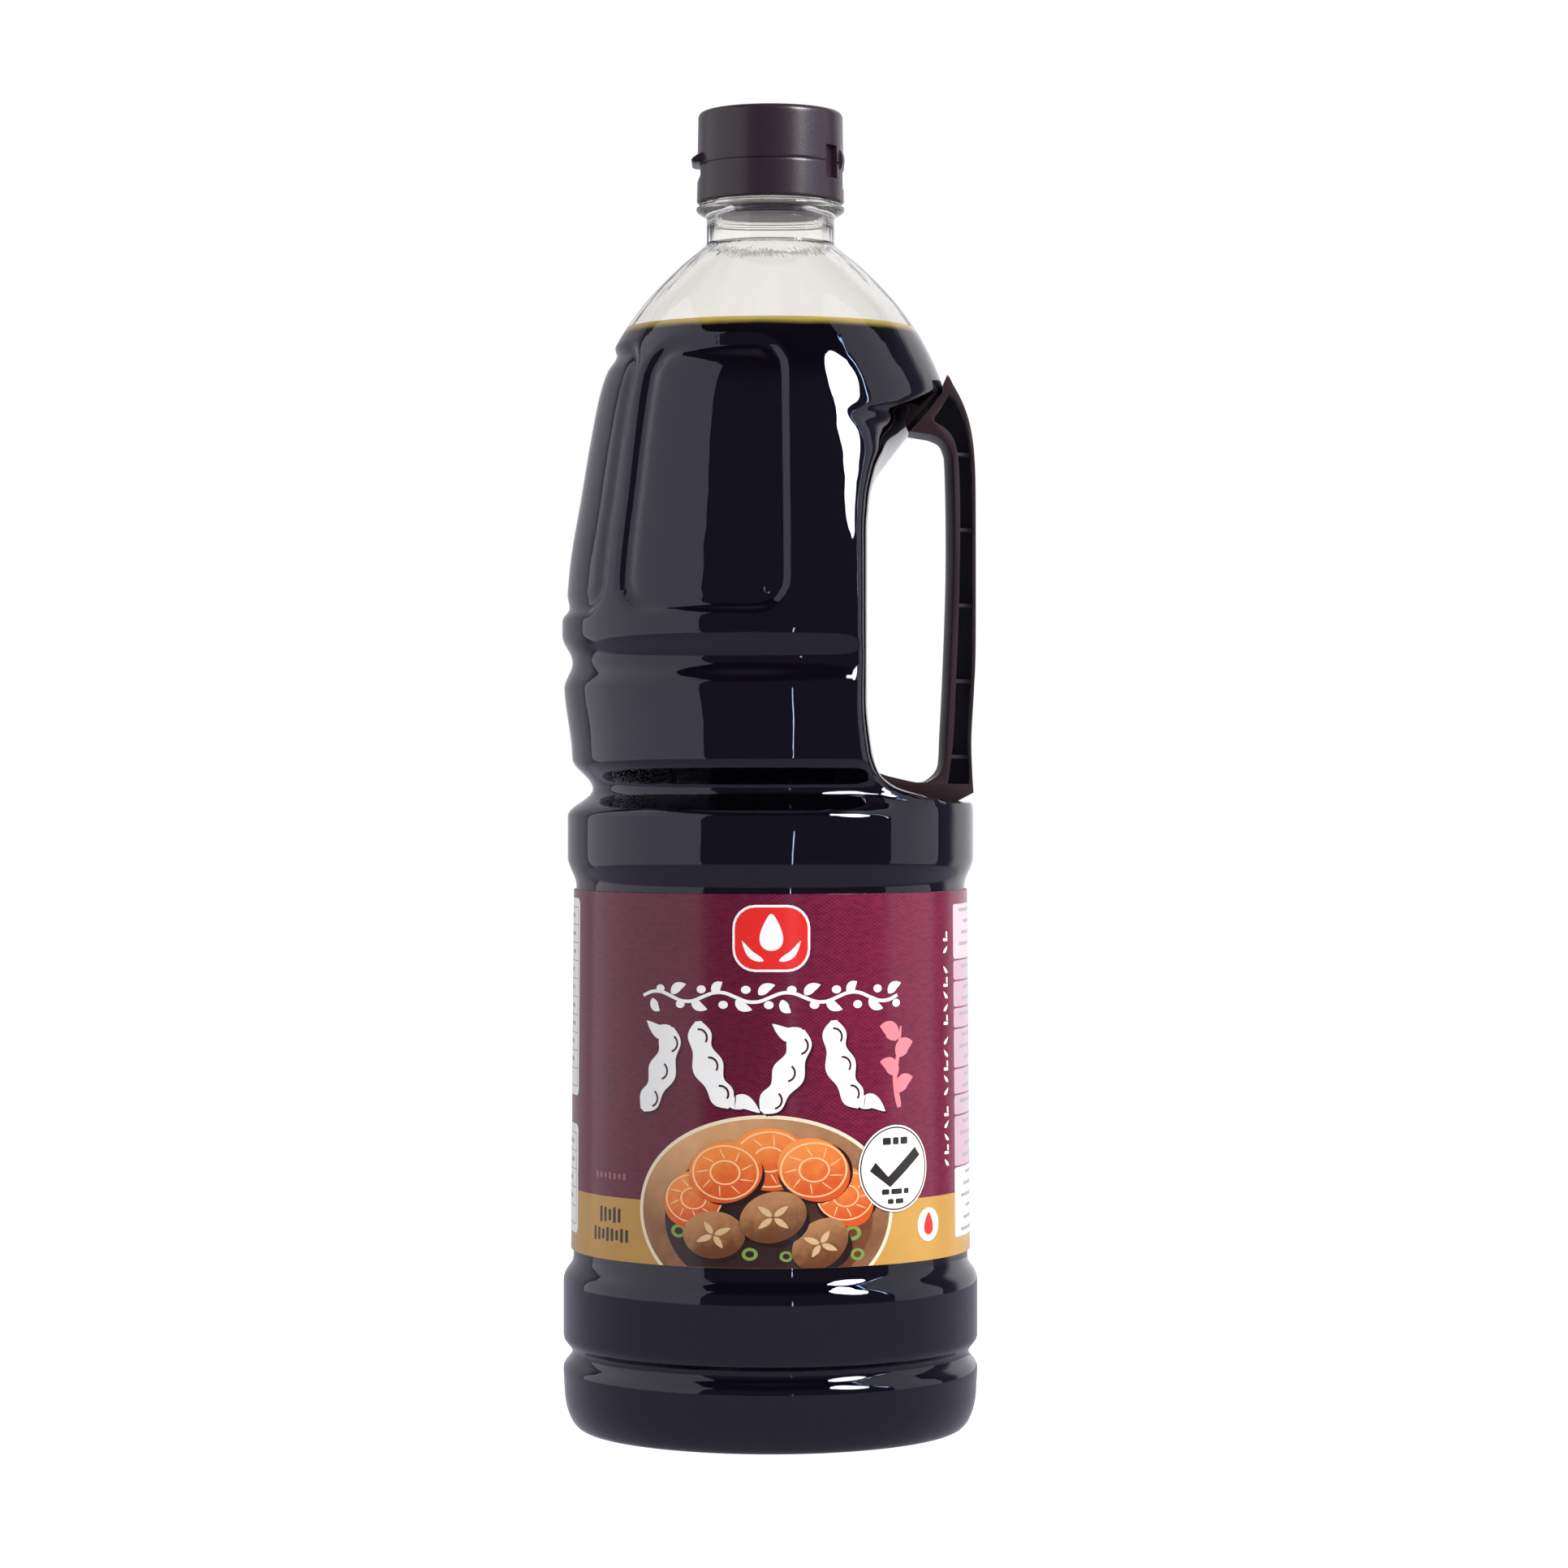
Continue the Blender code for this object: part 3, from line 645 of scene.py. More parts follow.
def mixed(tree, share, first, second):
    """A colour between two, by share."""
    node = tree.nodes.new("ShaderNodeMix")
    node.data_type = "RGBA"
    feed(tree, share, node.inputs["Factor"])
    colours = [socket for socket in node.inputs if socket.type == "RGBA"]
    feed(tree, first, colours[0])
    feed(tree, second, colours[1])
    return [socket for socket in node.outputs if socket.type == "RGBA"][0]


def place(tree, stretch=(1.0, 1.0, 1.0)):
    """Position on the object, stretched along its axes."""
    where = tree.nodes.new("ShaderNodeTexCoord").outputs["Object"]
    node = tree.nodes.new("ShaderNodeMapping")
    feed(tree, where, node.inputs["Vector"])
    node.inputs["Scale"].default_value = stretch
    return node.outputs["Vector"]


def axes(tree, vector):
    """A vector's X, Y and Z."""
    node = tree.nodes.new("ShaderNodeSeparateXYZ")
    feed(tree, vector, node.inputs[0])
    return node.outputs


def scaled(values, share):
    """A colour or a size with each of its numbers multiplied."""
    return [share * value for value in values]


def noise(tree, vector, scale, detail=2.0, roughness=0.5):
    node = tree.nodes.new("ShaderNodeTexNoise")
    feed(tree, vector, node.inputs["Vector"])
    node.inputs["Scale"].default_value = scale
    node.inputs["Detail"].default_value = detail
    node.inputs["Roughness"].default_value = roughness
    return node.outputs["Fac"]


def add_bump(tree, shader, height, distance, strength=1.0, under=None):
    node = tree.nodes.new("ShaderNodeBump")
    feed(tree, height, node.inputs["Height"])
    node.inputs["Distance"].default_value = distance
    node.inputs["Strength"].default_value = strength
    if under is not None:
        feed(tree, under, node.inputs["Normal"])
    feed(tree, node.outputs["Normal"], shader.inputs["Normal"])
    return node.outputs["Normal"]


def clear_plastic(settings):
    """Blown plastic: glassy, slightly wavy, with a fine grain.

    The shoulder has faint streaks that run up to the neck, the crease under
    the neck is darkened with painted shade, and the neck's rim, inside the
    cap, is made milky: a painted brightness standing in for reflected light.
    """
    material, tree, shader = new_material("clear_plastic", 0.015)
    shader.inputs["IOR"].default_value = PLASTIC_INDEX
    feed(tree, settings.sheen_tint, shader.inputs["Specular Tint"])
    split = axes(tree, place(tree))
    height = split["Z"]
    round_about = tree.nodes.new("ShaderNodeVectorMath")
    round_about.operation = "NORMALIZE"
    feed(tree, place(tree, (1.0, 1.0, 0.02)), round_about.inputs[0])
    streaks = noise(tree, round_about.outputs["Vector"], 5.5, 3.0, 0.6)
    in_shoulder = soft_range(tree, height, *STREAK_RISE)
    streaks = maths(tree, "MULTIPLY", streaks, in_shoulder)
    cloudy = [a * b for a, b in zip(settings.tint, STREAK_TINT)]
    colour = mixed(tree, streaks, settings.tint, cloudy)
    # Painted shade: the crease under the neck is darkened towards a brown
    crease = maths(tree, "MULTIPLY", soft_range(tree, height, *CREASE_RISE), CREASE_SHADE_STRENGTH)
    crease = maths(tree, "MULTIPLY", crease, soft_range(tree, height, *CREASE_FALL))
    colour = mixed(tree, crease, colour, CREASE_SHADE_COLOUR)
    feed(tree, colour, shader.inputs["Base Color"])
    # Painted light: the rim inside the cap loses transmission so that it looks bright
    rim = soft_range(tree, height, *RIM_RISE)
    transmission = maths(tree, "MULTIPLY_ADD", rim, -RIM_PAINTED_LIGHT_SHARE, 1.0)
    feed(tree, transmission, shader.inputs["Transmission Weight"])
    bands = maths(tree, "MULTIPLY", streaks, 2.0)
    streaky = add_bump(tree, shader, bands, 0.0005, 0.12)
    waves = noise(tree, place(tree, (1.0, 1.0, 0.45)), 95.0, 2.0, 0.45)
    wavy = add_bump(tree, shader, waves, 0.00022, 0.55, streaky)
    grain = noise(tree, place(tree), 2600.0, 1.0)
    add_bump(tree, shader, grain, 0.0000025, 0.05, wavy)
    return material


def sauce_colour(settings):
    """Near black, with an olive edge just under the surface: painted light, for light shining
    through the thin sauce there.
    """
    material, tree, shader = new_material("sauce_in_wall", 1.0)
    shader.inputs["Specular IOR Level"].default_value = 0.0
    split = axes(tree, place(tree))
    ripple = maths(tree, "MULTIPLY_ADD", noise(tree, place(tree), 160.0), 0.0006, -0.0003)
    height = maths(tree, "ADD", split["Z"], ripple)
    # Painted light: the sauce turns olive towards its top, where light shines through the thin
    # layer
    low = SAUCE_TOP - settings.lit_edge_height
    shade = soft_range(tree, height, low, SAUCE_TOP - 0.0002)
    mottle = noise(tree, place(tree), 900.0)
    colour = mixed(tree, mottle, scaled(settings.deep, 0.6), scaled(settings.deep, 1.4))
    colour = mixed(tree, shade, colour, settings.edge)
    feed(tree, colour, shader.inputs["Base Color"])
    return material


def sauce_surface():
    """The still top of the sauce: dark brown and glossy."""
    material, tree, shader = new_material("sauce_top", 0.04)
    swirl = noise(tree, place(tree), 70.0, 3.0)
    colour = mixed(tree, swirl, (0.010, 0.0045, 0.0035), (0.022, 0.009, 0.005))
    feed(tree, colour, shader.inputs["Base Color"])
    return material


# Painted shade for the handle's deep pockets: a bluish dark colour with a faint haze of light
POCKET_PAINTED_SHADE = (0.022, 0.018, 0.032)
RUBBED_SHEEN = 0.85
RUBBED_ROUGHNESS = 0.25
RUBBED_TINT = (0.94, 0.92, 1.0, 1.0)


def satin_plastic(name, colour, roughness, grain_scale, grain_depth, pocket=None):
    """Moulded plastic with a fine spark-eroded grain and faint flow marks.

    With a pocket, the plastic nearer the XZ plane than those distances takes
    one bluish dark colour, painted shade with a faint haze of light for the
    deep pockets, and has the pale sheen of rubbed plastic.
    """
    material, tree, shader = new_material(name, roughness)
    grain = noise(tree, place(tree), grain_scale, 2.0, 0.6)
    flow = noise(tree, place(tree, (1.0, 1.0, 0.3)), 60.0, 3.0)
    shade = maths(tree, "MULTIPLY_ADD", flow, 0.6, maths(tree, "MULTIPLY", grain, 0.4))
    tone = mixed(tree, shade, scaled(colour, 0.72), scaled(colour, 1.32))
    if pocket:
        split = axes(tree, place(tree))
        # Painted shade: nearer the XZ plane the pockets take a fixed colour in place of their
        # shade
        out = soft_range(tree, maths(tree, "ABSOLUTE", split["Y"]), *pocket)
        tone = mixed(tree, out, POCKET_PAINTED_SHADE, tone)
        shader.inputs["Sheen Weight"].default_value = RUBBED_SHEEN
        shader.inputs["Sheen Roughness"].default_value = RUBBED_ROUGHNESS
        shader.inputs["Sheen Tint"].default_value = RUBBED_TINT
    feed(tree, tone, shader.inputs["Base Color"])
    rough = maths(tree, "MULTIPLY_ADD", grain, 0.16, roughness - 0.08)
    feed(tree, rough, shader.inputs["Roughness"])
    add_bump(tree, shader, grain, grain_depth)
    return material


class SAUCEBOTTLE_OT_bottle(bpy.types.Operator):
    """Make the clear bottle's fine inner and outer surfaces."""

    bl_idname = "sauce_bottle.bottle"
    bl_label = "Clear Bottle"

    def execute(self, context):
        settings = context.scene.sauce_bottle_wall
        count = settings.columns
        heights = body_heights(settings.fine_step, settings.plain_step)
        skin = skin_rows(heights, count)
        neck = [round_row(radius, z, count) for radius, z in NECK_PROFILE]
        outer = np.concatenate([skin, np.array(neck)])
        bore = [round_row(radius, z, count) for radius, z in BORE_PROFILE]
        inner = np.concatenate([set_in(skin, settings.wall), np.array(bore)])
        points = list(outer.reshape(-1, 3)) + list(inner.reshape(-1, 3))
        points.append((0.0, 0.0, PUSH_UP_HEIGHT))
        points.append((0.0, 0.0, PUSH_UP_HEIGHT + settings.wall))
        inner_first = outer.shape[0] * count
        faces = quads(0, count, outer.shape[0])
        faces += quads(inner_first, count, inner.shape[0], outward=False)
        faces += fan(len(points) - 2, 0, count, upward=False)
        faces += fan(len(points) - 1, inner_first, count, upward=True)
        for j in range(count):
            k = (j + 1) % count
            outside = inner_first - count
            inside = len(points) - 2 - count
            faces.append((outside + j, outside + k, inside + k, inside + j))
        data = mesh_data("bottle_shell", points, faces)
        add_piece("bottle_shell", data, clear_plastic(settings), "clear_pet", "bottle")
        return {"FINISHED"}


class SAUCEBOTTLE_OT_sauce(bpy.types.Operator):
    """Make the sauce, which reaches just into the bottle's wall."""

    bl_idname = "sauce_bottle.sauce"
    bl_label = "Soy Sauce"

    def execute(self, context):
        settings = context.scene.sauce_bottle_sauce
        wall = context.scene.sauce_bottle_wall
        count = wall.columns
        heights = body_heights(wall.fine_step, wall.plain_step)
        under = [z for z in heights if z < SAUCE_TOP + settings.film]
        rows = set_in(skin_rows(under, count), settings.film)
        rows = list(rows[:-2])
        rows += self.surface_rows(settings.film, count)
        rows = np.array(rows)
        points = list(rows.reshape(-1, 3))
        points.append((0.0, 0.0, PUSH_UP_HEIGHT + settings.film))
        points.append((0.0, 0.0, SAUCE_TOP - MENISCUS_DEPTH))
        sides = quads(0, count, rows.shape[0])
        base = fan(len(points) - 2, 0, count, upward=False)
        top = fan(len(points) - 1, (rows.shape[0] - 1) * count, count, upward=True)
        data = mesh_data("sauce_fill", points, sides + base + top)
        data.materials.append(sauce_colour(settings))
        data.materials.append(sauce_surface())
        for face in data.polygons:
            if face.center.z > SAUCE_TOP - 2 * MENISCUS_DEPTH and face.normal.z > 0.9:
                face.material_index = 1
        add_piece("sauce_fill", data, None, "dark_sauce", "soy_sauce")
        return {"FINISHED"}

    def surface_rows(self, film, count):
        """The edge against the wall, and the meniscus inside it."""
        reach = 0.001
        slope = (BODY_CURVE.at(SAUCE_TOP + reach) - BODY_CURVE.at(SAUCE_TOP)) / reach
        lean = math.sqrt(1 + slope * slope)
        edge = []
        meniscus = []
        for angle in column_angles(count):
            radius = body_radius(angle, SAUCE_TOP - film * slope / lean) - film / lean
            edge.append(polar(radius, angle, SAUCE_TOP))
            meniscus.append(polar(radius - MENISCUS_WIDTH, angle, SAUCE_TOP - MENISCUS_DEPTH))
        return [edge, meniscus]


def label_radius(z):
    """Outer radius of the label at a height."""
    share = (z - LABEL_BOTTOM) / (LABEL_TOP - LABEL_BOTTOM)
    low = BODY_CURVE.at(LABEL_BOTTOM)
    high = BODY_CURVE.at(LABEL_TOP)
    return low + (high - low) * share + LABEL_GAP + LABEL_THICKNESS


LABEL_ARC_RADIUS = label_radius(0.5 * (LABEL_BOTTOM + LABEL_TOP))


def label_point(along, z, lift):
    """A point on the label: along it from the middle of its front, and up."""
    turn = along / LABEL_ARC_RADIUS
    radius = label_radius(z) + lift
    return (radius * math.sin(turn), -radius * math.cos(turn), z)


def new_ink(name, roughness=INK_ROUGHNESS):
    """A material for the film's print, with its node tree and shader."""
    material, tree, shader = new_material(name, roughness)
    shader.inputs["Specular IOR Level"].default_value = INK_GLOSS
    return material, tree, shader


def label_ink(name, colour, mottle=0.06):
    """Printed film: one colour with a little mottling, under a clear gloss."""
    material, tree, shader = new_ink(name)
    spots = noise(tree, place(tree), 1400.0, 2.0)
    high = [min(value, 1.0) for value in scaled(colour, 1 + mottle)]
    colour = mixed(tree, spots, scaled(colour, 1 - mottle), high)
    feed(tree, colour, shader.inputs["Base Color"])
    ripple = noise(tree, place(tree), 120.0, 2.0)
    add_bump(tree, shader, ripple, 0.00008, 0.5)
    return material


def label_field(settings):
    """The label's ground: woven plum above a gold band, with painted shade that darkens it left of
    the front's middle.
    """
    material, tree, shader = new_ink("label_ground")
    layout = tree.nodes.new("ShaderNodeUVMap")
    layout.uv_map = "label_layout"
    split = axes(tree, layout.outputs["UV"])
    along = split["X"]
    up = split["Y"]
    threads = tree.nodes.new("ShaderNodeMapping")
    feed(tree, layout.outputs["UV"], threads.inputs["Vector"])
    threads.inputs["Scale"].default_value = (0.36, 1.0, 1.0)
    slub = noise(tree, threads.outputs["Vector"], 1150.0, 2.0, 0.65)
    cloud = noise(tree, layout.outputs["UV"], 90.0, 2.0)
    warp = maths(tree, "SINE", maths(tree, "MULTIPLY", along, 2 * math.pi / THREAD_PITCHES[0]))
    weft = maths(tree, "SINE", maths(tree, "MULTIPLY", up, 2 * math.pi / THREAD_PITCHES[1]))
    weave = maths(tree, "MULTIPLY", warp, weft)
    weave = maths(tree, "MULTIPLY_ADD", weave, 0.25, slub)
    shade = maths(tree, "MULTIPLY_ADD", cloud, 0.3, maths(tree, "SUBTRACT", weave, 0.15))
    shade = soft_range(tree, shade, 0.2, 0.8)
    plum = mixed(tree, shade, scaled(settings.plum, 0.70), scaled(settings.plum, 1.30))
    # Painted shade: left of this span the plum and gold are darkened, as if less light fell there
    painted_lit_side = soft_range(tree, along, *LABEL_PAINTED_SHADE_SPAN)
    plum = mixed(tree, painted_lit_side, mixed(tree, 0.28, plum, (0.0, 0.0, 0.0)), plum)
    gold = mixed(tree, cloud, scaled(settings.gold, 0.90), scaled(settings.gold, 1.10))
    gold = mixed(tree, painted_lit_side, mixed(tree, 0.12, gold, (0.02, 0.0, 0.0)), gold)
    edge = LABEL_BOTTOM + settings.band_height
    above = soft_range(tree, up, edge - 0.00006, edge + 0.00006)
    feed(tree, mixed(tree, above, gold, plum), shader.inputs["Base Color"])
    ripple = noise(tree, place(tree), 120.0, 2.0)
    wavy = add_bump(tree, shader, ripple, 0.00008, 0.5)
    add_bump(tree, shader, weave, 0.000006, 0.6, wavy)
    return material


class SAUCEBOTTLE_OT_label(bpy.types.Operator):
    """Make the label sleeve, with its woven ground and gold band."""

    bl_idname = "sauce_bottle.label"
    bl_label = "Label"

    def execute(self, context):
        data = self.sleeve()
        material = label_field(context.scene.sauce_bottle_label)
        add_piece("label_sleeve", data, material, "label_film", "label")
        return {"FINISHED"}

    def sleeve(self):
        """A closed thin tube with rounded rims and the label's flat layout."""
        count = LABEL_COLUMNS
        soft = LABEL_EDGE_ROUND
        span = LABEL_TOP - LABEL_BOTTOM - 4 * soft
        outline = [
            (LABEL_TOP, soft - LABEL_THICKNESS), (LABEL_TOP, -soft), (LABEL_TOP - soft, 0.0),
        ]
        for i in range(LABEL_ROWS, -1, -1):
            outline.append((LABEL_BOTTOM + 2 * soft + span * i / LABEL_ROWS, 0.0))
        outline += [
            (LABEL_BOTTOM + soft, 0.0), (LABEL_BOTTOM, -soft),
            (LABEL_BOTTOM, soft - LABEL_THICKNESS),
            (LABEL_BOTTOM + soft, -LABEL_THICKNESS), (LABEL_TOP - soft, -LABEL_THICKNESS),
        ]
        full_turn = 2 * math.pi * LABEL_ARC_RADIUS
        points = []
        for z, lift in outline:
            for j in range(count):
                along = full_turn * (j / count - 0.5)
                points.append(label_point(along, z, lift))
        faces = []
        row_count = len(outline)
        for i in range(row_count):
            low = i * count
            high = ((i + 1) % row_count) * count
            for j in range(count):
                k = (j + 1) % count
                faces.append((low + j, high + j, high + k, low + k))
        data = mesh_data("label_sleeve", points, faces)
        layout = data.uv_layers.new(name="label_layout")
        for face in data.polygons:
            for loop_index in face.loop_indices:
                vertex = data.loops[loop_index].vertex_index
                column = vertex % count
                if column == 0 and face.center.x < 0.0:
                    share = -0.5
                elif column == 0:
                    share = 0.5
                else:
                    share = column / count - 0.5
                z = outline[vertex // count][0]
                layout.data[loop_index].uv = (full_turn * share, z)
        return data


def turned_points(points, centre, turn):
    """Flat points turned by an angle and moved to a centre."""
    made = []
    for x, y in points:
        u = centre[0] + x * math.cos(turn) - y * math.sin(turn)
        made.append((u, centre[1] + x * math.sin(turn) + y * math.cos(turn)))
    return made


def on_oval(centre, radii, angle):
    """The point of an ellipse at an angle."""
    x = centre[0] + radii[0] * math.cos(angle)
    return (x, centre[1] + radii[1] * math.sin(angle))


def oval(centre, radii, steps=48, turn=0.0):
    """Outline of an ellipse, turned by an angle."""
    angles = [2 * math.pi * i / steps for i in range(steps)]
    points = [on_oval((0.0, 0.0), radii, angle) for angle in angles]
    return turned_points(points, centre, turn)


def oval_ring(centre, outer, inner, steps=64, start=0.0, end=2 * math.pi):
    """Faces of a band between two ellipses with one centre."""
    faces = []
    for i in range(steps):
        corners = []
        for radii, order in ((outer, (0, 1)), (inner, (1, 0))):
            for step in order:
                angle = start + (end - start) * (i + step) / steps
                corners.append(on_oval(centre, radii, angle))
        faces.append(corners)
    return faces


def rounded_box(centre, size, corner, steps=6):
    """Outline of a rectangle with round corners."""
    points = []
    half_width = 0.5 * size[0] - corner
    half_height = 0.5 * size[1] - corner
    for i, (sx, sy) in enumerate(((1, 1), (-1, 1), (-1, -1), (1, -1))):
        for step in range(steps + 1):
            angle = 0.5 * math.pi * (i + step / steps)
            middle = (centre[0] + sx * half_width, centre[1] + sy * half_height)
            points.append(on_oval(middle, (corner, corner), angle))
    return points


def box_ring(centre, size, corner, width):
    """Faces of a line that follows a rounded rectangle inside its edge."""
    outer = rounded_box(centre, size, corner)
    small = (size[0] - 2 * width, size[1] - 2 * width)
    inner = rounded_box(centre, small, max(corner - width, 0.0001))
    faces = []
    for i in range(len(outer)):
        k = (i + 1) % len(outer)
        faces.append([outer[i], outer[k], inner[k], inner[i]])
    return faces


def smooth_path(points, steps=6):
    """A smooth curve through points, ends included."""
    ends = [points[0], *points, points[-1]]
    made = []
    for a, b, c, d in zip(ends, ends[1:], ends[2:], ends[3:]):
        for i in range(steps):
            t = i / steps
            made.append(tuple(
                0.5 * (2 * q + (r - p) * t + (2 * p - 5 * q + 4 * r - s) * t * t
                       + (3 * q - p - 3 * r + s) * t ** 3)
                for p, q, r, s in zip(a, b, c, d)
            ))
    return made + [tuple(points[-1])]


def stroke(points, half_width, swell=None, steps=6):
    """Outline of a brush stroke along a smooth path, with tapered ends."""
    path = smooth_path(points, steps)
    left = []
    right = []
    for i, (x, y) in enumerate(path):
        before = path[max(i - 1, 0)]
        after = path[min(i + 1, len(path) - 1)]
        length = math.hypot(after[0] - before[0], after[1] - before[1])
        nx = -(after[1] - before[1]) / length
        ny = (after[0] - before[0]) / length
        share = i / (len(path) - 1)
        reach = half_width * (swell(share) if swell else 1.0)
        left.append((x + nx * reach, y + ny * reach))
        right.append((x - nx * reach, y - ny * reach))
    return left + right[::-1]


def pod_swell(share):
    """Half width of a three-bean pod along its length, as a share."""
    body = max(math.sin(math.pi * min(max(share, 0.02), 0.98)), 0.0) ** 0.42
    return body * (0.84 + 0.16 * math.cos(6 * math.pi * share + math.pi))


def leaf_swell(share):
    return max(math.sin(math.pi * min(max(share, 0.03), 0.97) ** 0.8), 0.04)


def brush_swell(share):
    """A brush line that starts full and thins out."""
    return 0.25 + 0.75 * (1 - share) ** 0.7 * min(1.0, 0.4 + 8 * share)


def drop(centre, radius, steps=40):
    """Outline of a drop that hangs from its tip."""
    points = []
    for i in range(steps):
        angle = 2 * math.pi * i / steps
        pull = math.sin(0.5 * angle) ** 2
        x = radius * math.sin(angle) * (0.35 + 0.65 * pull)
        points.append((centre[0] + x, centre[1] + radius * (1.15 * math.cos(angle) + 0.1)))
    return points


def print_piece(name, shapes, material, layer):
    """Wrap flat shapes round the label as one thin layer of print."""
    settings = bpy.context.scene.sauce_bottle_label
    mesh = bmesh.new()
    for outline in shapes:
        mesh.faces.new([mesh.verts.new((x, y, 0.0)) for x, y in outline])
    bmesh.ops.remove_doubles(mesh, verts=mesh.verts[:], dist=MERGE_DISTANCE)
    bmesh.ops.triangulate(mesh, faces=mesh.faces[:], ngon_method="EAR_CLIP")
    low = min(vert.co.x for vert in mesh.verts)
    high = max(vert.co.x for vert in mesh.verts)
    for i in range(math.ceil(low / settings.strip), math.ceil(high / settings.strip)):
        cut_flat(mesh, (i * settings.strip, 0.0, 0.0), (1.0, 0.0, 0.0), False)
    cut_flat(mesh, (0.0, LABEL_BOTTOM + LABEL_EDGE_ROUND, 0.0), (0.0, 1.0, 0.0), True)
    bmesh.ops.dissolve_degenerate(mesh, dist=0.000005, edges=mesh.edges[:])
    raised = bmesh.ops.extrude_face_region(mesh, geom=mesh.faces[:])["geom"]
    for item in raised:
        if isinstance(item, bmesh.types.BMVert):
            item.co.z = settings.layer
    bmesh.ops.recalc_face_normals(mesh, faces=mesh.faces[:])
    base = (layer - 1) * settings.layer - 0.5 * settings.layer
    for vert in mesh.verts:
        x, y, z = vert.co
        vert.co = label_point(x, y, base + z + 0.5 * settings.layer)
    data = bpy.data.meshes.new(name)
    mesh.to_mesh(data)
    mesh.free()
    return add_piece(name, data, material, "label_film")


def cut_flat(mesh, point, normal, clear_below):
    bmesh.ops.bisect_plane(
        mesh,
        geom=mesh.verts[:] + mesh.edges[:] + mesh.faces[:],
        plane_co=point,
        plane_no=normal,
        clear_inner=clear_below,
    )


# Label print: (along from the front's middle, height) and sizes, in metres
SEAL_CENTRE = (0.0002, 0.1158)
SEAL_SIZE = (0.0176, 0.0150)
SEAL_CORNER = 0.0052
SEAL_GROUND_SIZE = (0.0165, 0.0139)
SEAL_GROUND_CORNER = 0.0047
VINE_HEIGHT = 0.1026
VINE_REACH = 0.0310
VINE_LEAVES = 12
POD_ROW_HEIGHT = 0.0868
PODS = ((-0.0272, 1.18), (-0.0128, 1.95), (0.0026, 1.12), (0.0176, 1.88))
POD_SHADOW_SHIFT = (0.0005, -0.0005)
POD_LENGTH = 0.0205
POD_HALF_WIDTH = 0.0037
SPRIG_CENTRE = (0.0308, 0.0868)
BADGE_CENTRE = (0.0300, 0.0636)
BADGE_RADIUS = 0.0098
BADGE_LINE = (0.0094, 0.0091)
BADGE_TICK = ((-0.0062, 0.0006), (-0.0018, -0.0030), (0.0066, 0.0036))
BADGE_BAR_GAP = 0.0006
# Rows of bars on the badge: height above its middle, bar height and widths
BADGE_ROWS = (
    (0.0062, 0.0016, (0.0022, 0.0016, 0.0020)),
    (-0.0052, 0.0012, (0.0020, 0.0030, 0.0014)),
    (-0.0074, 0.0011, (0.0016, 0.0022)),
)
# Rows of upright bars left of the dish: height, bar height, count and ink
BAND_ROWS = (
    (0.0523, 0.0036, 5, "dark"), (0.0478, 0.0032, 8, "dark"), (0.0612, 0.0016, 7, "faint"),
)
BAND_ROWS_MIDDLE = -0.0418
BAND_BAR_STEP = 0.0017
BAND_BAR_WIDTH = 0.0009
BAND_SPOT = (0.0408, 0.0502)
BAND_SPOT_RADIUS = 0.0038
BAND_DROP_RADIUS = 0.0022


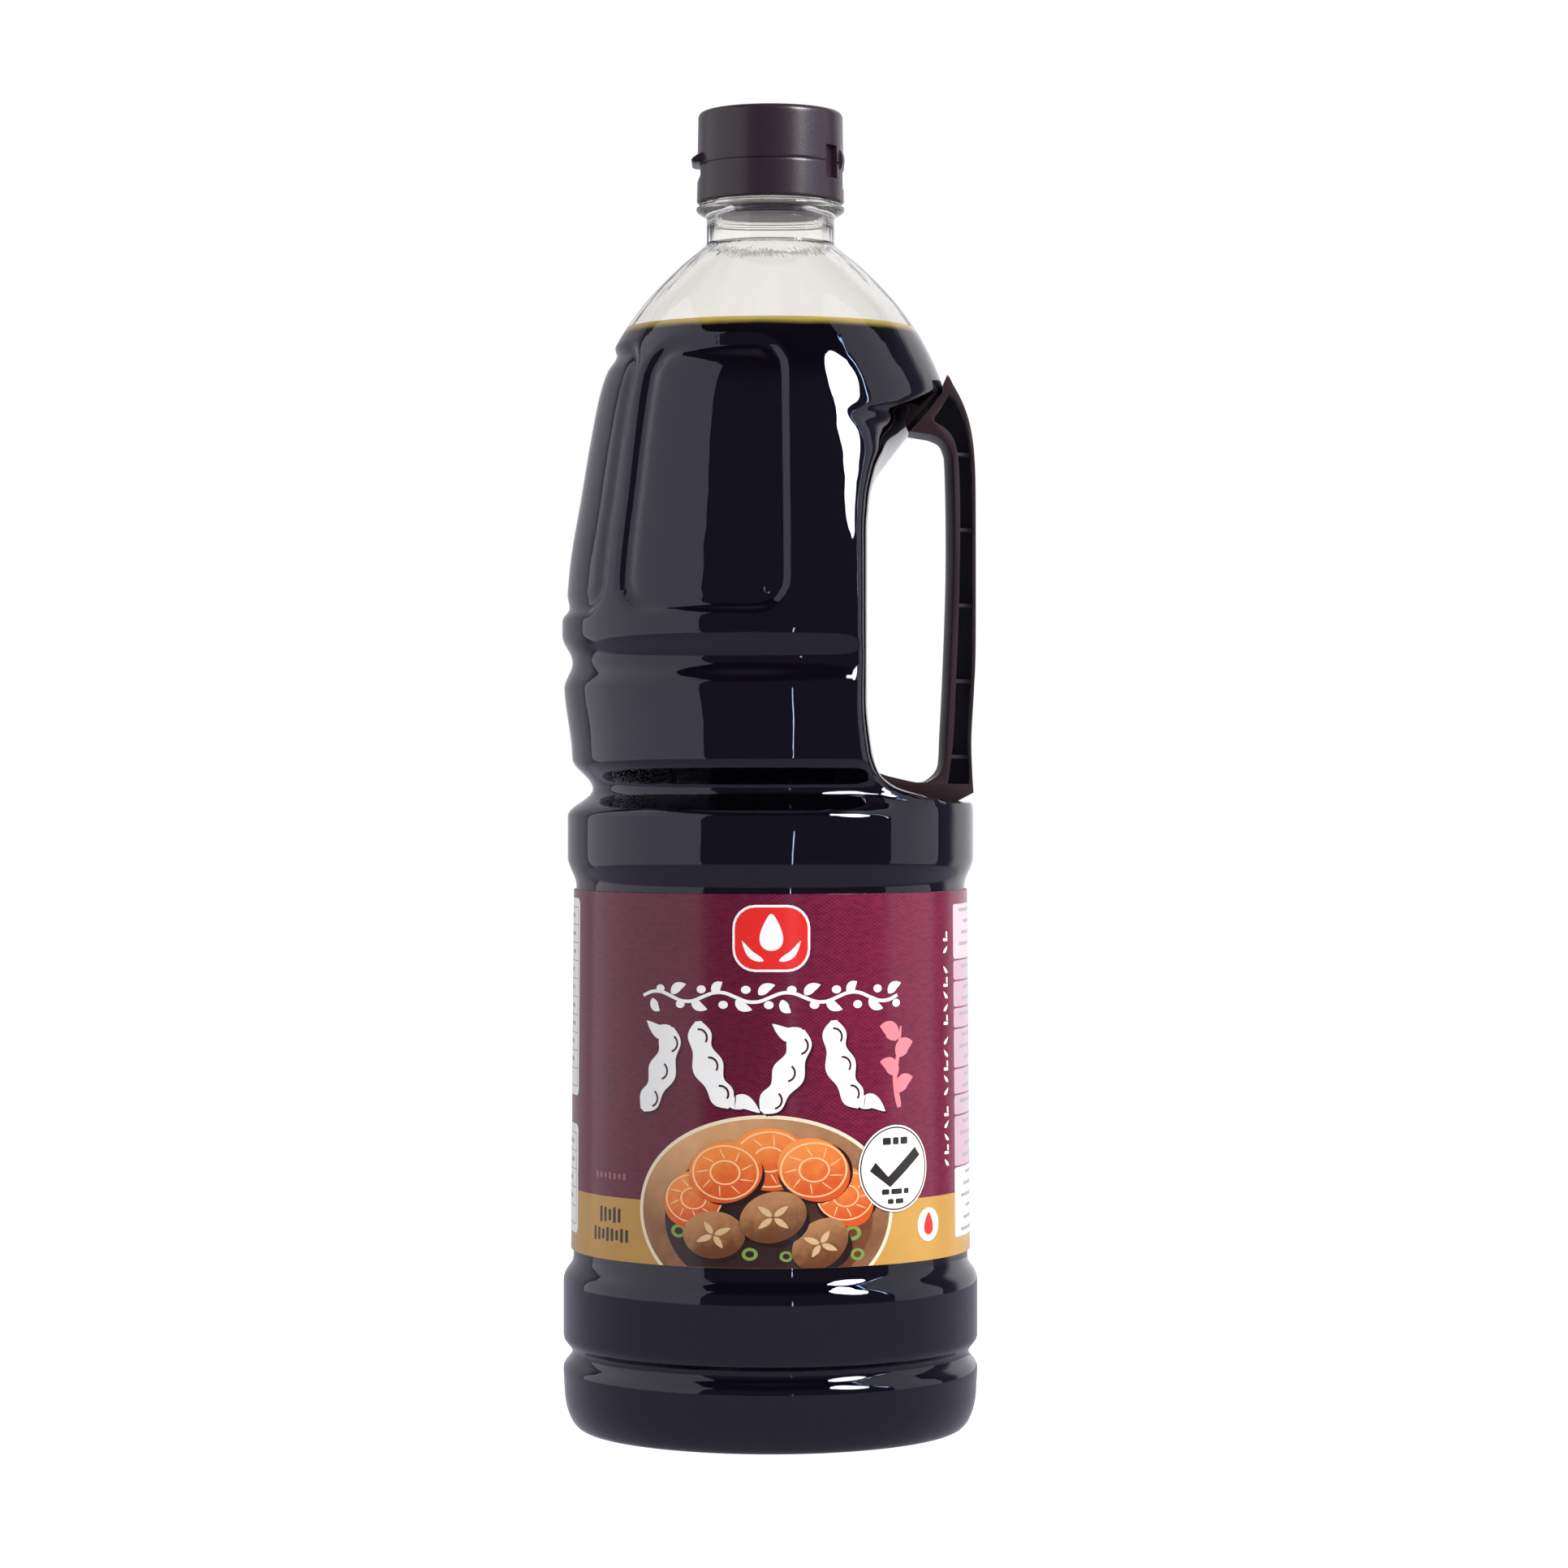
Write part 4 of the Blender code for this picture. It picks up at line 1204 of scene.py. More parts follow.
class SAUCEBOTTLE_OT_print(bpy.types.Operator):
    """Print the seal, the vine, the pods, the sprig and the badge."""

    bl_idname = "sauce_bottle.print"
    bl_label = "Label Print"

    def execute(self, context):
        settings = context.scene.sauce_bottle_label
        white = label_ink("white_ink", settings.white, 0.03)
        red = label_ink("red_ink", settings.red)
        pink = label_ink("pink_ink", settings.pink)
        plum = label_ink("plum_ink", scaled(settings.plum, 0.35))
        dark = label_ink("dark_ink", (0.022, 0.018, 0.018))
        cream = label_ink("cream_ink", (0.86, 0.85, 0.77), 0.03)
        self.seal(red, white)
        self.vine(white)
        self.pods(white, plum)
        self.sprig(pink)
        self.badge(cream, dark)
        self.band_marks(dark, white, red)
        return {"FINISHED"}

    def seal(self, red, white):
        """A red seal with a drop over two leaves."""
        outer = rounded_box(SEAL_CENTRE, SEAL_SIZE, SEAL_CORNER)
        print_piece("seal_edge", [outer], white, 1)
        inner = rounded_box(SEAL_CENTRE, SEAL_GROUND_SIZE, SEAL_GROUND_CORNER)
        print_piece("seal_ground", [inner], red, 2)
        x, z = SEAL_CENTRE
        shapes = [drop((x, z + 0.0010), 0.0036)]
        for side in (-1, 1):
            stem = [(x + side * 0.0018, z - 0.0050), (x + side * 0.0046, z - 0.0036)]
            stem.append((x + side * 0.0066, z - 0.0006))
            shapes.append(stroke(stem, 0.0008, leaf_swell))
        print_piece("seal_motif", shapes, white, 3)

    def vine(self, white):
        """A wavy stem with leaves and berries on both sides."""
        stem = []
        for i in range(25):
            x = VINE_REACH * (i / 12 - 1)
            stem.append((x, VINE_HEIGHT + 0.0011 * math.sin(i * 1.05)))
        shapes = [stroke(stem, 0.00038, steps=3)]
        print_piece("vine_stem", shapes, white, 1)
        leaves = []
        for i in range(VINE_LEAVES):
            x = VINE_REACH * (2 * (i + 0.5) / VINE_LEAVES - 1)
            side = 1 if i % 2 else -1
            lean = 0.55 if i % 3 else 0.95
            root = (x, VINE_HEIGHT + side * 0.0006)
            reach = 0.0042 if i % 3 else 0.0034
            rise = side * (0.0006 + reach * math.sin(lean))
            tip = (x + reach * math.cos(lean), VINE_HEIGHT + rise)
            middle = (0.5 * (root[0] + tip[0]) - 0.0003, 0.5 * (root[1] + tip[1]) + side * 0.0004)
            leaves.append(stroke([root, middle, tip], 0.0011, leaf_swell))
            leaves.append(oval((x + 0.0022, VINE_HEIGHT - side * 0.0017), (0.0011, 0.0009), 18))
        print_piece("vine_leaves", leaves, white, 2)

    def pods(self, white, plum):
        """Four bean pods, each with a leaf, over their shadows."""
        pods = []
        beans = []
        leaves = []
        for i, (x, turn) in enumerate(PODS):
            z = POD_ROW_HEIGHT + (0.0008 if i % 2 else -0.0006)
            bow = 0.0014 if i % 2 else -0.0014
            half = 0.5 * POD_LENGTH
            path = [(-half, 0.0), (-0.4 * half, bow), (0.4 * half, bow), (half, 0.0)]
            path = turned_points(path, (x, z), turn)
            pods.append(stroke(path, POD_HALF_WIDTH, pod_swell, 14))
            for share in (-0.33, 0.0, 0.33):
                along = share * POD_LENGTH
                centre = turned_points([(along, 0.8 * bow)], (x, z), turn)[0]
                arc = oval_ring(centre, (0.0021, 0.0021), (0.00165, 0.00165), 18,
                                turn - 2.5, turn - 0.2)
                beans += arc
            root = path[0] if turn > 1.5 else path[-1]
            side = 1 if turn > 1.5 else -1
            leaf = [root, (root[0] + side * 0.0030, root[1] + side * 0.0012)]
            leaf.append((root[0] + side * 0.0066, root[1] - side * 0.0012))
            leaves.append(stroke(leaf, 0.0017, leaf_swell, 10))
        across, down = POD_SHADOW_SHIFT
        for name, outlines, layer in (("pod_leaves", leaves, 2), ("pods", pods, 3)):
            shadow = [[(x + across, z + down) for x, z in outline] for outline in outlines]
            print_piece(name + "_shadow", shadow, plum, layer - 1)
            print_piece(name, outlines, white, layer)
        print_piece("pod_beans", beans, plum, 4)

    def sprig(self, pink):
        """An upright sprig with four leaves."""
        x, z = SPRIG_CENTRE
        stem = [(x + 0.0006, z - 0.0095), (x - 0.0006, z - 0.0030), (x + 0.0004, z + 0.0030)]
        stem.append((x + 0.0012, z + 0.0088))
        shapes = [stroke(stem, 0.0008, brush_swell)]
        leaves = []
        for i, (rise, side) in enumerate(((-0.0060, 1), (-0.0022, -1), (0.0020, 1), (0.0058, -1))):
            root = (x, z + rise)
            tip = (x + side * 0.0047, z + rise + 0.0032)
            middle = (x + side * 0.0020, z + rise + 0.0024)
            leaves.append(stroke([root, middle, tip], 0.0017 + 0.0001 * i, leaf_swell))
        print_piece("sprig_stem", shapes, pink, 1)
        print_piece("sprig_leaves", leaves, pink, 2)

    def badge(self, cream, dark):
        """A round badge with a tick and rows of bars."""
        x, z = BADGE_CENTRE
        disc = oval(BADGE_CENTRE, (BADGE_RADIUS, BADGE_RADIUS))
        print_piece("badge_disc", [disc], cream, 10)
        outer, inner = BADGE_LINE
        marks = oval_ring(BADGE_CENTRE, (outer, outer), (inner, inner))
        marks.append(stroke([(x + u, z + v) for u, v in BADGE_TICK], 0.0012, steps=1))
        for row, height, widths in BADGE_ROWS:
            left = x - 0.5 * (sum(widths) + BADGE_BAR_GAP * (len(widths) - 1))
            for width in widths:
                centre = (left + 0.5 * width, z + row)
                marks.append(rounded_box(centre, (width, height), 0.0003, 3))
                left += width + BADGE_BAR_GAP
        print_piece("badge_marks", marks, dark, 11)

    def band_marks(self, dark, white, red):
        """Rows of upright bars left of the dish, and a spot at its right."""
        bars = []
        faint = []
        for z, height, count, made in BAND_ROWS:
            for i in range(count):
                tall = height * (1.0, 0.72, 0.9)[i * 2 % 3]
                along = BAND_ROWS_MIDDLE + BAND_BAR_STEP * (i - 0.5 * (count - 1))
                bar = rounded_box((along, z), (BAND_BAR_WIDTH, tall), 0.0003, 3)
                (bars if made == "dark" else faint).append(bar)
        print_piece("band_bars", bars, dark, 1)
        print_piece("small_bars", faint, label_ink("faint_ink", (0.30, 0.10, 0.13)), 1)
        spot = oval(BAND_SPOT, (BAND_SPOT_RADIUS, BAND_SPOT_RADIUS))
        print_piece("band_spot", [spot], white, 1)
        print_piece("band_drop", [drop(BAND_SPOT, BAND_DROP_RADIUS)], red, 2)


# The dish and what is in it: places and sizes in metres
DISH_CENTRE = (-0.0012, 0.0545)
DISH_RADII = (0.0305, 0.0218)
RIM_WIDTH = 0.0062
SLICES = (
    (-0.0176, 0.0574, 0.0076, 0.5), (-0.0102, 0.0634, 0.0085, 0.2),
    (-0.0002, 0.0664, 0.0088, -0.1), (0.0098, 0.0640, 0.0086, -0.4),
    (0.0172, 0.0580, 0.0077, -0.8),
)
MUSHROOMS = ((-0.0128, 0.0494, 0.0072), (0.0006, 0.0535, 0.0076), (0.0112, 0.0474, 0.0070))
LEEK_RINGS = (
    (-0.0212, 0.0500, 0.0019), (-0.0046, 0.0452, 0.0018), (0.0188, 0.0496, 0.0021),
    (0.0035, 0.0447, 0.0015), (0.0200, 0.0448, 0.0017),
)
SHADOW_SHIFT = (0.0005, -0.0006)
# Rings on a carrot slice, as shares of its radius: outside, inside and steps
SLICE_RINGS = (((0.90, 0.72), (0.85, 0.68), 36), ((0.42, 0.33), (0.37, 0.29), 24))
SLICE_SPOKES = 9
SLICE_FLATNESS = 0.80


def bronze_ink():
    """The dish's hammered metal: brown, lit from the upper left."""
    material, tree, shader = new_ink("bronze_ink", 0.22)
    split = axes(tree, place(tree))
    across = soft_range(tree, split["X"], -0.028, 0.026)
    rise = soft_range(tree, split["Z"], 0.046, 0.078)
    hammer = noise(tree, place(tree), 260.0, 2.0)
    shade = maths(tree, "MULTIPLY", maths(tree, "SUBTRACT", 1.15, across), rise)
    shade = maths(tree, "MULTIPLY_ADD", hammer, 0.35, maths(tree, "MULTIPLY", shade, 0.8))
    colour = mixed(tree, shade, (0.14, 0.045, 0.018), (0.66, 0.36, 0.17))
    feed(tree, colour, shader.inputs["Base Color"])
    return material


def round_ink(name, light, dark):
    """Ink for a round slice: light towards its upper left, dark at its lower edge."""
    material, tree, shader = new_ink(name)
    local = tree.nodes.new("ShaderNodeTexCoord").outputs["Generated"]
    split = axes(tree, local)
    slope = maths(tree, "MULTIPLY_ADD", split["X"], -0.35, split["Z"])
    fibres = noise(tree, place(tree), 420.0, 3.0, 0.6)
    shade = maths(tree, "MULTIPLY_ADD", fibres, 0.7, maths(tree, "SUBTRACT", slope, 0.35))
    colour = mixed(tree, soft_range(tree, shade, -0.15, 0.85), dark, light)
    feed(tree, colour, shader.inputs["Base Color"])
    return material


def broth_ink():
    """Dark broth, warmer and lighter towards the right."""
    material, tree, shader = new_ink("broth_ink")
    split = axes(tree, place(tree))
    across = soft_range(tree, split["X"], 0.002, 0.026)
    cloud = noise(tree, place(tree), 130.0, 3.0)
    shade = maths(tree, "MULTIPLY", across, cloud)
    colour = mixed(tree, shade, (0.026, 0.011, 0.010), (0.34, 0.10, 0.035))
    feed(tree, colour, shader.inputs["Base Color"])
    return material


class SAUCEBOTTLE_OT_dish(bpy.types.Operator):
    """Print the dish of vegetables in broth."""

    bl_idname = "sauce_bottle.dish"
    bl_label = "Label Dish"

    def execute(self, context):
        cream = label_ink("rim_ink", (0.80, 0.68, 0.52), 0.05)
        orange = round_ink("orange_ink", (0.80, 0.25, 0.055), (0.62, 0.085, 0.016))
        pale = label_ink("pale_ink", (0.90, 0.52, 0.26), 0.08)
        brown = round_ink("brown_ink", (0.42, 0.20, 0.085), (0.13, 0.042, 0.014))
        shadow = label_ink("shadow_ink", (0.016, 0.007, 0.006))
        tan = label_ink("tan_ink", (0.62, 0.42, 0.22), 0.10)
        green = label_ink("green_ink", (0.20, 0.30, 0.055), 0.15)
        print_piece("dish_edge", [oval(DISH_CENTRE, DISH_RADII, 96)], cream, 1)
        metal = (DISH_RADII[0] - 0.0009, DISH_RADII[1] - 0.0008)
        print_piece("dish_wall", [oval(DISH_CENTRE, metal, 96)], bronze_ink(), 2)
        pool = (DISH_RADII[0] - RIM_WIDTH, DISH_RADII[1] - 0.8 * RIM_WIDTH)
        x, z = DISH_CENTRE
        centre = (x + 0.0008, z - 0.0016)
        print_piece("dish_broth", [oval(centre, pool, 80)], broth_ink(), 3)
        self.slices(orange, pale, shadow)
        self.mushrooms(brown, tan, shadow)
        self.leeks(green)
        return {"FINISHED"}

    def slices(self, orange, pale, shadow):
        """Round carrot slices, each a little over the one before."""
        for i, (x, z, radius, turn) in enumerate(SLICES):
            layer = 4 + 3 * (i % 2)
            name = f"carrot_{i + 1}"
            flat = SLICE_FLATNESS * radius
            under = oval((x + SHADOW_SHIFT[0], z + SHADOW_SHIFT[1]), (radius, flat), 36)
            print_piece(name + "_shadow", [under], shadow, layer)
            shape = oval((x, z), (radius, flat), 40, turn)
            print_piece(name, [shape], orange, layer + 1)
            marks = []
            for outer, inner, steps in SLICE_RINGS:
                marks += oval_ring((x, z), scaled(outer, radius), scaled(inner, radius), steps)
            for spoke in range(SLICE_SPOKES):
                angle = turn + 2 * math.pi * spoke / SLICE_SPOKES
                near = on_oval((x, z), (0.46 * radius, 0.37 * radius), angle)
                far = on_oval((x, z), (0.80 * radius, 0.64 * radius), angle + 0.16)
                marks.append(stroke([near, far], 0.00018, brush_swell, 3))
            print_piece(name + "_rings", marks, pale, layer + 2)

    def mushrooms(self, brown, tan, shadow):
        """Mushroom caps with a cross cut in each."""
        for i, (x, z, radius) in enumerate(MUSHROOMS):
            layer = 10 + 3 * (i % 2)
            name = f"mushroom_{i + 1}"
            under = oval((x + SHADOW_SHIFT[0], z + SHADOW_SHIFT[1]), (radius, 0.76 * radius), 36)
            print_piece(name + "_shadow", [under], shadow, layer)
            shape = oval((x, z), (radius, 0.74 * radius), 36, 0.3 * i)
            print_piece(name, [shape], brown, layer + 1)
            cuts = []
            for arm in range(4):
                angle = 0.5 + 0.3 * i + 0.5 * math.pi * arm
                far = on_oval((x, z), (0.62 * radius, 0.46 * radius), angle)
                near = on_oval((x, z), (0.06 * radius, 0.05 * radius), angle)
                middle = (0.5 * (near[0] + far[0]), 0.5 * (near[1] + far[1]))
                cuts.append(stroke([near, middle, far], 0.0007, leaf_swell))
            print_piece(name + "_cross", cuts, tan, layer + 2)

    def leeks(self, green):
        """Rings of leek on the broth."""
        rings = []
        for x, z, radius in LEEK_RINGS:
            rings += oval_ring((x, z), (radius, 0.8 * radius), (0.55 * radius, 0.42 * radius), 20)
        print_piece("leek_rings", rings, green, 4)


# Tables at the left as (middle, size), and the table at the right
LEFT_TABLES = (((-0.0760, 0.1010), (0.0346, 0.0456)), ((-0.0760, 0.0590), (0.0346, 0.0252)))
LEFT_ROW_STEP = 0.0046
RIGHT_TABLE_TOP = (0.0730, 0.1228)
RIGHT_TABLE_WIDTH = 0.0400
RIGHT_ROW_HEIGHTS = (
    0.0130, 0.0048, 0.0062, 0.0048, 0.0092, 0.0060, 0.0048, 0.0118, 0.0163,
)
RIGHT_ROW_GAP = 0.0004
RIGHT_LINE_STEP = 0.0026
# Column of small marks: its place along the label and lowest height, count and step
MARGIN_COLUMN = (0.0487, 0.0630)
MARGIN_COUNT = 17
MARGIN_STEP = 0.0029


class SAUCEBOTTLE_OT_panels(bpy.types.Operator):
    """Print the plain tables on the label's sides and back."""

    bl_idname = "sauce_bottle.panels"
    bl_label = "Label Side Panels"

    def execute(self, context):
        white = label_ink("panel_white", (0.88, 0.88, 0.89), 0.02)
        grey = label_ink("panel_grey", (0.32, 0.31, 0.33), 0.06)
        pink = label_ink("panel_pink", (0.86, 0.52, 0.58), 0.04)
        mauve = label_ink("panel_mauve", (0.56, 0.36, 0.44), 0.06)
        self.left_tables(white, grey)
        self.right_table(white, grey, pink, mauve)
        self.margin_line(white)
        return {"FINISHED"}

    def left_tables(self, white, grey):
        """Two tables of ruled rows with short bars in place of words."""
        shapes = [rounded_box(centre, size, 0.0018) for centre, size in LEFT_TABLES]
        print_piece("left_tables", shapes, white, 1)
        lines = []
        for centre, size in LEFT_TABLES:
            inner = (size[0] - 0.0026, size[1] - 0.0040)
            lines += box_ring(centre, inner, 0.0004, 0.0002)
            count = round(size[1] / LEFT_ROW_STEP)
            for i in range(1, count):
                z = centre[1] + inner[1] * (i / count - 0.5)
                lines.append(rounded_box((centre[0], z), (inner[0], 0.0002), 0.00008, 2))
                for j, width in enumerate((0.0064, 0.0112, 0.0048)):
                    x = centre[0] - 0.0112 + 0.0104 * j + 0.0006 * ((i * 7 + j * 3) % 4)
                    height = z + 0.5 * inner[1] / count
                    lines.append(rounded_box((x, height), (width * 0.72, 0.0009), 0.0003, 3))
        print_piece("left_table_lines", lines, grey, 2)

    def right_table(self, white, grey, pink, mauve):
        """A column of rows: pink at the top, white at the bottom, mauve between."""
        rows = []
        bars = []
        middle, z = RIGHT_TABLE_TOP
        for i, height in enumerate(RIGHT_ROW_HEIGHTS):
            size = (RIGHT_TABLE_WIDTH, height - RIGHT_ROW_GAP)
            rows.append(rounded_box((middle, z - 0.5 * height), size, 0.0008, 4))
            for j in range(int(height / RIGHT_LINE_STEP)):
                line = z - 0.0016 - RIGHT_LINE_STEP * j
                if line > z - height + 0.0010:
                    size = (0.030 - 0.004 * ((i + 2 * j) % 3), 0.0008)
                    bars.append(rounded_box((middle - 0.001, line), size, 0.0003, 3))
            z -= height
        print_piece("right_rows_pink", rows[:1], pink, 1)
        print_piece("right_rows_mauve", rows[1:-1], mauve, 1)
        print_piece("right_rows_white", rows[-1:], white, 1)
        print_piece("right_row_bars", bars, grey, 2)

    def margin_line(self, white):
        """A column of small leaves and bars beside the right table."""
        marks = []
        x, z = MARGIN_COLUMN
        for i in range(MARGIN_COUNT):
            if i % 3 == 1:
                marks.append(rounded_box((x, z), (0.0021, 0.0007), 0.0002, 3))
                marks.append(rounded_box((x + 0.0006, z + 0.0012), (0.0007, 0.0014), 0.0002, 3))
            else:
                side = 1 if i % 2 else -1
                leaf = [(x - 0.0010 * side, z), (x, z + 0.0005), (x + 0.0010 * side, z + 0.0015)]
                marks.append(stroke(leaf, 0.00045, leaf_swell))
            z += MARGIN_STEP * (1.6 if i % 5 == 4 else 1.0)
        print_piece("margin_dashes", marks, white, 1)


def prism(name, outline, low, high, to_world):
    """A closed prism on a flat outline, from one level of w to another."""
    mesh = bmesh.new()
    bottom = [mesh.verts.new(to_world(u, v, low)) for u, v in outline]
    top = [mesh.verts.new(to_world(u, v, high)) for u, v in outline]
    mesh.faces.new(bottom)
    mesh.faces.new(top)
    for j in range(len(outline)):
        k = (j + 1) % len(outline)
        mesh.faces.new((bottom[j], bottom[k], top[k], top[j]))
    bmesh.ops.recalc_face_normals(mesh, faces=mesh.faces[:])
    return linked_mesh(name, mesh)


def linked_mesh(name, mesh):
    data = bpy.data.meshes.new(name)
    mesh.to_mesh(data)
    mesh.free()
    return link(name, data)


def across_y(u, v, w):
    """Places a side outline in the XZ plane, with w along Y."""
    return (u, w, v)


def upright(u, v, w):
    """Places a plan outline in the XY plane, with w along Z."""
    return (u, v, w)


def arc_sector(inner, outer, start, end):
    """Plan outline of a ring sector."""
    steps = HINGE_ARC_STEPS
    angles = [start + (end - start) * i / steps for i in range(steps + 1)]
    far = [(outer * math.cos(a), outer * math.sin(a)) for a in angles]
    near = [(inner * math.cos(a), inner * math.sin(a)) for a in reversed(angles)]
    return far + near


def apply_boolean(target, operation, tools):
    """Cut or join tools with the exact solver, then remove them."""
    holder = bpy.data.collections.new(target.name + "_tools")
    for tool in tools:
        holder.objects.link(tool)
    modifier = target.modifiers.new(operation.lower(), "BOOLEAN")
    modifier.operation = operation
    modifier.solver = "EXACT"
    modifier.operand_type = "COLLECTION"
    modifier.collection = holder
    bake_modifiers(target)
    for tool in tools:
        bpy.data.objects.remove(tool)
    bpy.data.collections.remove(holder)


def bake_modifiers(target):
    """Put an object's evaluated shape into its mesh."""
    bpy.context.view_layer.update()
    graph = bpy.context.evaluated_depsgraph_get()
    made = bpy.data.meshes.new_from_object(target.evaluated_get(graph))
    target.modifiers.clear()
    old = target.data
    target.data = made
    bpy.data.meshes.remove(old)


def round_edges(target, width):
    """Round an object's sharp edges."""
    bevel = target.modifiers.new("round", "BEVEL")
    bevel.width = width
    bevel.segments = 3
    bevel.limit_method = "ANGLE"
    bevel.angle_limit = SMOOTH_ANGLE
    bevel.use_clamp_overlap = True
    bevel.harden_normals = False
    bake_modifiers(target)


def finish_piece(target, name, material, slot, node):
    """Turn a working object into a finished piece."""
    data = target.data
    bpy.data.objects.remove(target)
    data.name = name
    data.materials.clear()
    return add_piece(name, data, material, slot, node)


class SAUCEBOTTLE_OT_cap(bpy.types.Operator):
    """Make the shut flip-top cap with its seam, tab, scoop and hinge."""

    bl_idname = "sauce_bottle.cap"
    bl_label = "Flip-Top Cap"

    def execute(self, context):
        settings = context.scene.sauce_bottle_cap
        cap = self.turned_body(settings)
        apply_boolean(cap, "DIFFERENCE", self.cutters())
        apply_boolean(cap, "UNION", self.additions())
        round_edges(cap, CAP_EDGE_ROUND)
        plastic = satin_plastic("cap_satin", settings.colour, 0.29, 3200.0, 0.000012)
        finish_piece(cap, "cap_moulding", plastic, "cap_plastic", "cap")
        return {"FINISHED"}

    def outline(self, settings):
        """Half section, down the outer side and back up the socket."""
        points = [(0.0, CAP_TOP), (0.5 * CAP_TOP_RADIUS, CAP_TOP)]
        for i in range(9):
            turn = 0.5 * math.pi * (1 - i / 8)
            radius = CAP_TOP_RADIUS - settings.edge_round * (1 - math.cos(turn))
            points.append((radius, CAP_TOP - settings.edge_round * (1 - math.sin(turn))))
        seam_radius = 0.5 * (CAP_BOTTOM_RADIUS + CAP_TOP_RADIUS)
        seam_hold = 2 * CAP_SEAM_HALF_WIDTH + CAP_ROW_HOLD
        points += [
            (CAP_TOP_RADIUS, CAP_TOP - settings.edge_round - CAP_ROW_HOLD),
            (seam_radius, CAP_SEAM_HEIGHT + seam_hold),
            (seam_radius, CAP_SEAM_HEIGHT + 2 * CAP_SEAM_HALF_WIDTH),
            (seam_radius - 0.2 * CAP_SEAM_DEPTH, CAP_SEAM_HEIGHT + CAP_SEAM_HALF_WIDTH),
            (seam_radius - CAP_SEAM_DEPTH, CAP_SEAM_HEIGHT + 0.5 * CAP_SEAM_HALF_WIDTH),
            (seam_radius - CAP_SEAM_DEPTH, CAP_SEAM_HEIGHT - 0.5 * CAP_SEAM_HALF_WIDTH),
            (seam_radius - 0.2 * CAP_SEAM_DEPTH, CAP_SEAM_HEIGHT - CAP_SEAM_HALF_WIDTH),
            (seam_radius, CAP_SEAM_HEIGHT - 2 * CAP_SEAM_HALF_WIDTH),
            (seam_radius, CAP_SEAM_HEIGHT - seam_hold),
            (CAP_BOTTOM_RADIUS, CAP_BOTTOM + CAP_FOOT_CHAMFER + CAP_ROW_HOLD),
            (CAP_BOTTOM_RADIUS, CAP_BOTTOM + CAP_FOOT_CHAMFER),
            (CAP_BOTTOM_RADIUS - CAP_FOOT_CHAMFER, CAP_BOTTOM),
            (CAP_SOCKET_RADIUS, CAP_BOTTOM),
            (CAP_SOCKET_RADIUS, CAP_SOCKET_TOP),
            (0.0, CAP_SOCKET_TOP),
        ]
        return points

    def turned_body(self, settings):
        outline = self.outline(settings)
        count = settings.steps
        points = []
        for radius, z in outline[1:-1]:
            points += round_row(radius, z, count)
        row_count = len(outline) - 2
        faces = quads(0, count, row_count, outward=False)
        points += [(0.0, 0.0, CAP_TOP), (0.0, 0.0, CAP_SOCKET_TOP)]
        faces += fan(len(points) - 2, 0, count, upward=True)
        faces += fan(len(points) - 1, (row_count - 1) * count, count, upward=False)
        return link("cap_body", mesh_data("cap_body", points, faces))

    def cutters(self):
        """Hinge windows, hinge slot and thumb scoop."""
        floor = CAP_BOTTOM_RADIUS - HINGE_DEPTH
        clear = CAP_BOTTOM_RADIUS + CUTTER_OVERSHOOT
        made = []
        for sign in (-1, 1):
            start, end = (sign * angle for angle in HINGE_WINDOW_ANGLES)
            sector = arc_sector(floor, clear, start, end)
            made.append(prism("hinge_window", sector, *HINGE_WINDOW_HEIGHTS, upright))
        half = HINGE_SLOT_HALF_ANGLE
        sector = arc_sector(floor, clear, -half, half)
        made.append(prism("hinge_slot", sector, *HINGE_SLOT_HEIGHTS, upright))
        scoop = oval(SCOOP_CENTRE, (SCOOP_RADIUS, SCOOP_RADIUS), 64)
        made.append(prism("thumb_scoop", scoop, -SCOOP_HALF_WIDTH, SCOOP_HALF_WIDTH, across_y))
        return made

    def additions(self):
        """Thumb tab and the two hinge straps."""
        made = [prism("tab", TAB_SIDE, -TAB_HALF_WIDTH, TAB_HALF_WIDTH, across_y)]
        bottom, top = STRAP_HEIGHTS
        rise = CAP_BOTTOM_RADIUS + STRAP_RISE
        root = CAP_BOTTOM_RADIUS - HINGE_DEPTH
        side = []
        for i in range(STRAP_BOW_STEPS + 1):
            share = i / STRAP_BOW_STEPS
            bow = math.sqrt(max(1.0 - (2 * share - 1) ** 2, 0.0))
            side.append((root + (rise - root) * bow, bottom + (top - bottom) * share))
        side.append((root - STRAP_ROOT_DEPTH, top))
        side.append((root - STRAP_ROOT_DEPTH, bottom))
        for sign in (-1, 1):
            strap = prism("strap", side, -STRAP_HALF_WIDTH, STRAP_HALF_WIDTH, across_y)
            strap.data.transform(Matrix.Rotation(sign * STRAP_ANGLE, 4, "Z"))
            made.append(strap)
        return made


